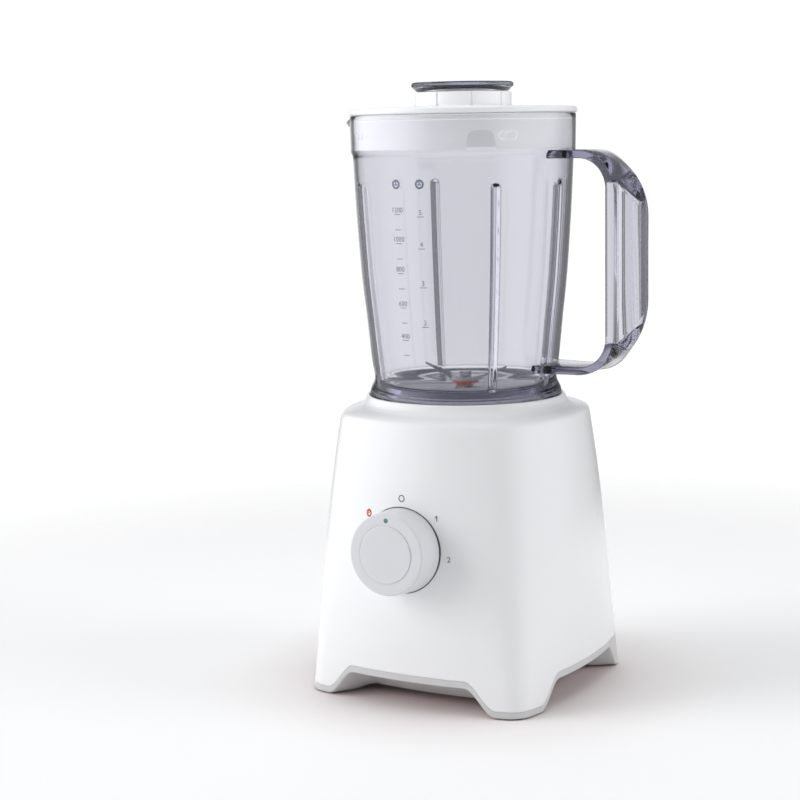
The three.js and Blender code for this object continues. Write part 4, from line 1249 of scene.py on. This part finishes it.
def lamp(name, size, power, place):
    """A soft lamp aimed at the object, hidden from reflections and from clear plastic."""
    light = bpy.data.lights.new(name, "AREA")
    light.shape = "RECTANGLE"
    light.size, light.size_y = size
    light.energy = power
    holder = bpy.data.objects.new(name, light)
    holder.location = place
    aim = Vector(LAMP_TARGET) - Vector(place)
    holder.rotation_euler = aim.to_track_quat("-Z", "Y").to_euler()
    holder.visible_glossy = False
    holder.visible_transmission = False
    bpy.context.collection.objects.link(holder)


FLOOR_HALF = 2.0
FADE_FROM, FADE_TO = 0.45, 0.9
PAINTED_SHADOW_REACH = 0.09
PAINTED_SHADOW_TINT, FLOOR_TINT = (0.62, 0.50, 0.49, 1), (0.96, 0.96, 0.96, 1)


def floor():
    """A pale table top with a painted contact shadow near the object, fading into the backdrop well
    clear of it.
    """
    mesh = bpy.data.meshes.new("floor")
    corners = [(x * FLOOR_HALF, y * FLOOR_HALF, 0) for x, y in ((-1, -1), (1, -1), (1, 1), (-1, 1))]
    mesh.from_pydata(corners, [], [(0, 1, 2, 3)])
    ground = bpy.data.objects.new("floor", mesh)
    bpy.context.collection.objects.link(ground)
    material, nodes, links, shader, _ = new_material("floor")
    # Ambient occlusion darkens the floor round the object towards a brownish tint: a painted contact
    # shadow.
    hidden = nodes.new("ShaderNodeAmbientOcclusion")
    settings(hidden, distance=PAINTED_SHADOW_REACH)
    colour = nodes.new("ShaderNodeValToRGB")
    colour.color_ramp.elements[0].color = PAINTED_SHADOW_TINT
    colour.color_ramp.elements[1].color = FLOOR_TINT
    links.new(hidden.outputs["AO"], colour.inputs[0])
    links.new(colour.outputs[0], shader.inputs["Base Color"])
    settings(shader, roughness=0.9, specular_ior_level=0.1)
    coords = nodes.new("ShaderNodeTexCoord")
    away = nodes.new("ShaderNodeVectorMath")
    away.operation = "LENGTH"
    links.new(coords.outputs["Object"], away.inputs[0])
    fade = nodes.new("ShaderNodeMapRange")
    fade.interpolation_type = "SMOOTHSTEP"
    settings(fade, from_min=FADE_FROM, from_max=FADE_TO, to_min=1, to_max=0)
    links.new(away.outputs["Value"], fade.inputs["Value"])
    links.new(fade.outputs[0], shader.inputs["Alpha"])
    mesh.materials.append(material)


# Soft patches of light that the object reflects and refracts: heading, where the patch begins
# and is full (as cosines of the angle away from it), and how bright it is.
PATCHES = (
    (121, 0.93, 0.985, 0.60), (208, 0.45, 0.97, 1.1), (10, 0.62, 0.97, 0.8), (300, 0.75, 0.97, 0.22),
)
ROOM_LEVEL, BACKDROP_LEVEL = 0.22, 1.05


def world():
    """White behind the object for the camera; a dim room with soft bright patches for the rest."""
    sky = bpy.data.worlds.new("studio")
    bpy.context.scene.world = sky
    sky.use_nodes = True
    nodes, links = sky.node_tree.nodes, sky.node_tree.links
    nodes.clear()
    output = nodes.new("ShaderNodeOutputWorld")
    seen = nodes.new("ShaderNodeBackground")
    settings(seen, color=(1, 1, 1, 1), strength=BACKDROP_LEVEL)
    around = nodes.new("ShaderNodeBackground")
    settings(around, color=(0.96, 0.97, 1, 1))
    coords = nodes.new("ShaderNodeTexCoord")
    total = None
    for heading, begins, full, level in PATCHES:
        towards = nodes.new("ShaderNodeVectorMath")
        towards.operation = "DOT_PRODUCT"
        towards.inputs[1].default_value = (cos(radians(heading)), sin(radians(heading)), 0)
        links.new(coords.outputs["Generated"], towards.inputs[0])
        patch = nodes.new("ShaderNodeMapRange")
        patch.interpolation_type = "SMOOTHSTEP"
        settings(patch, from_min=begins, from_max=full, to_max=level)
        links.new(towards.outputs["Value"], patch.inputs["Value"])
        add = nodes.new("ShaderNodeMath")
        add.operation = "ADD"
        add.inputs[1].default_value = ROOM_LEVEL
        if total:
            links.new(total, add.inputs[1])
        links.new(patch.outputs[0], add.inputs[0])
        total = add.outputs[0]
    links.new(total, around.inputs["Strength"])
    ray = nodes.new("ShaderNodeLightPath")
    pick = nodes.new("ShaderNodeMixShader")
    links.new(ray.outputs["Is Camera Ray"], pick.inputs[0])
    links.new(around.outputs[0], pick.inputs[1])
    links.new(seen.outputs[0], pick.inputs[2])
    links.new(pick.outputs[0], output.inputs["Surface"])


camera()
floor()
world()
for lamp_name, lamp_size, lamp_power, lamp_place in LAMPS:
    lamp(lamp_name, lamp_size, lamp_power, lamp_place)
bpy.context.scene.view_settings.view_transform = "Standard"
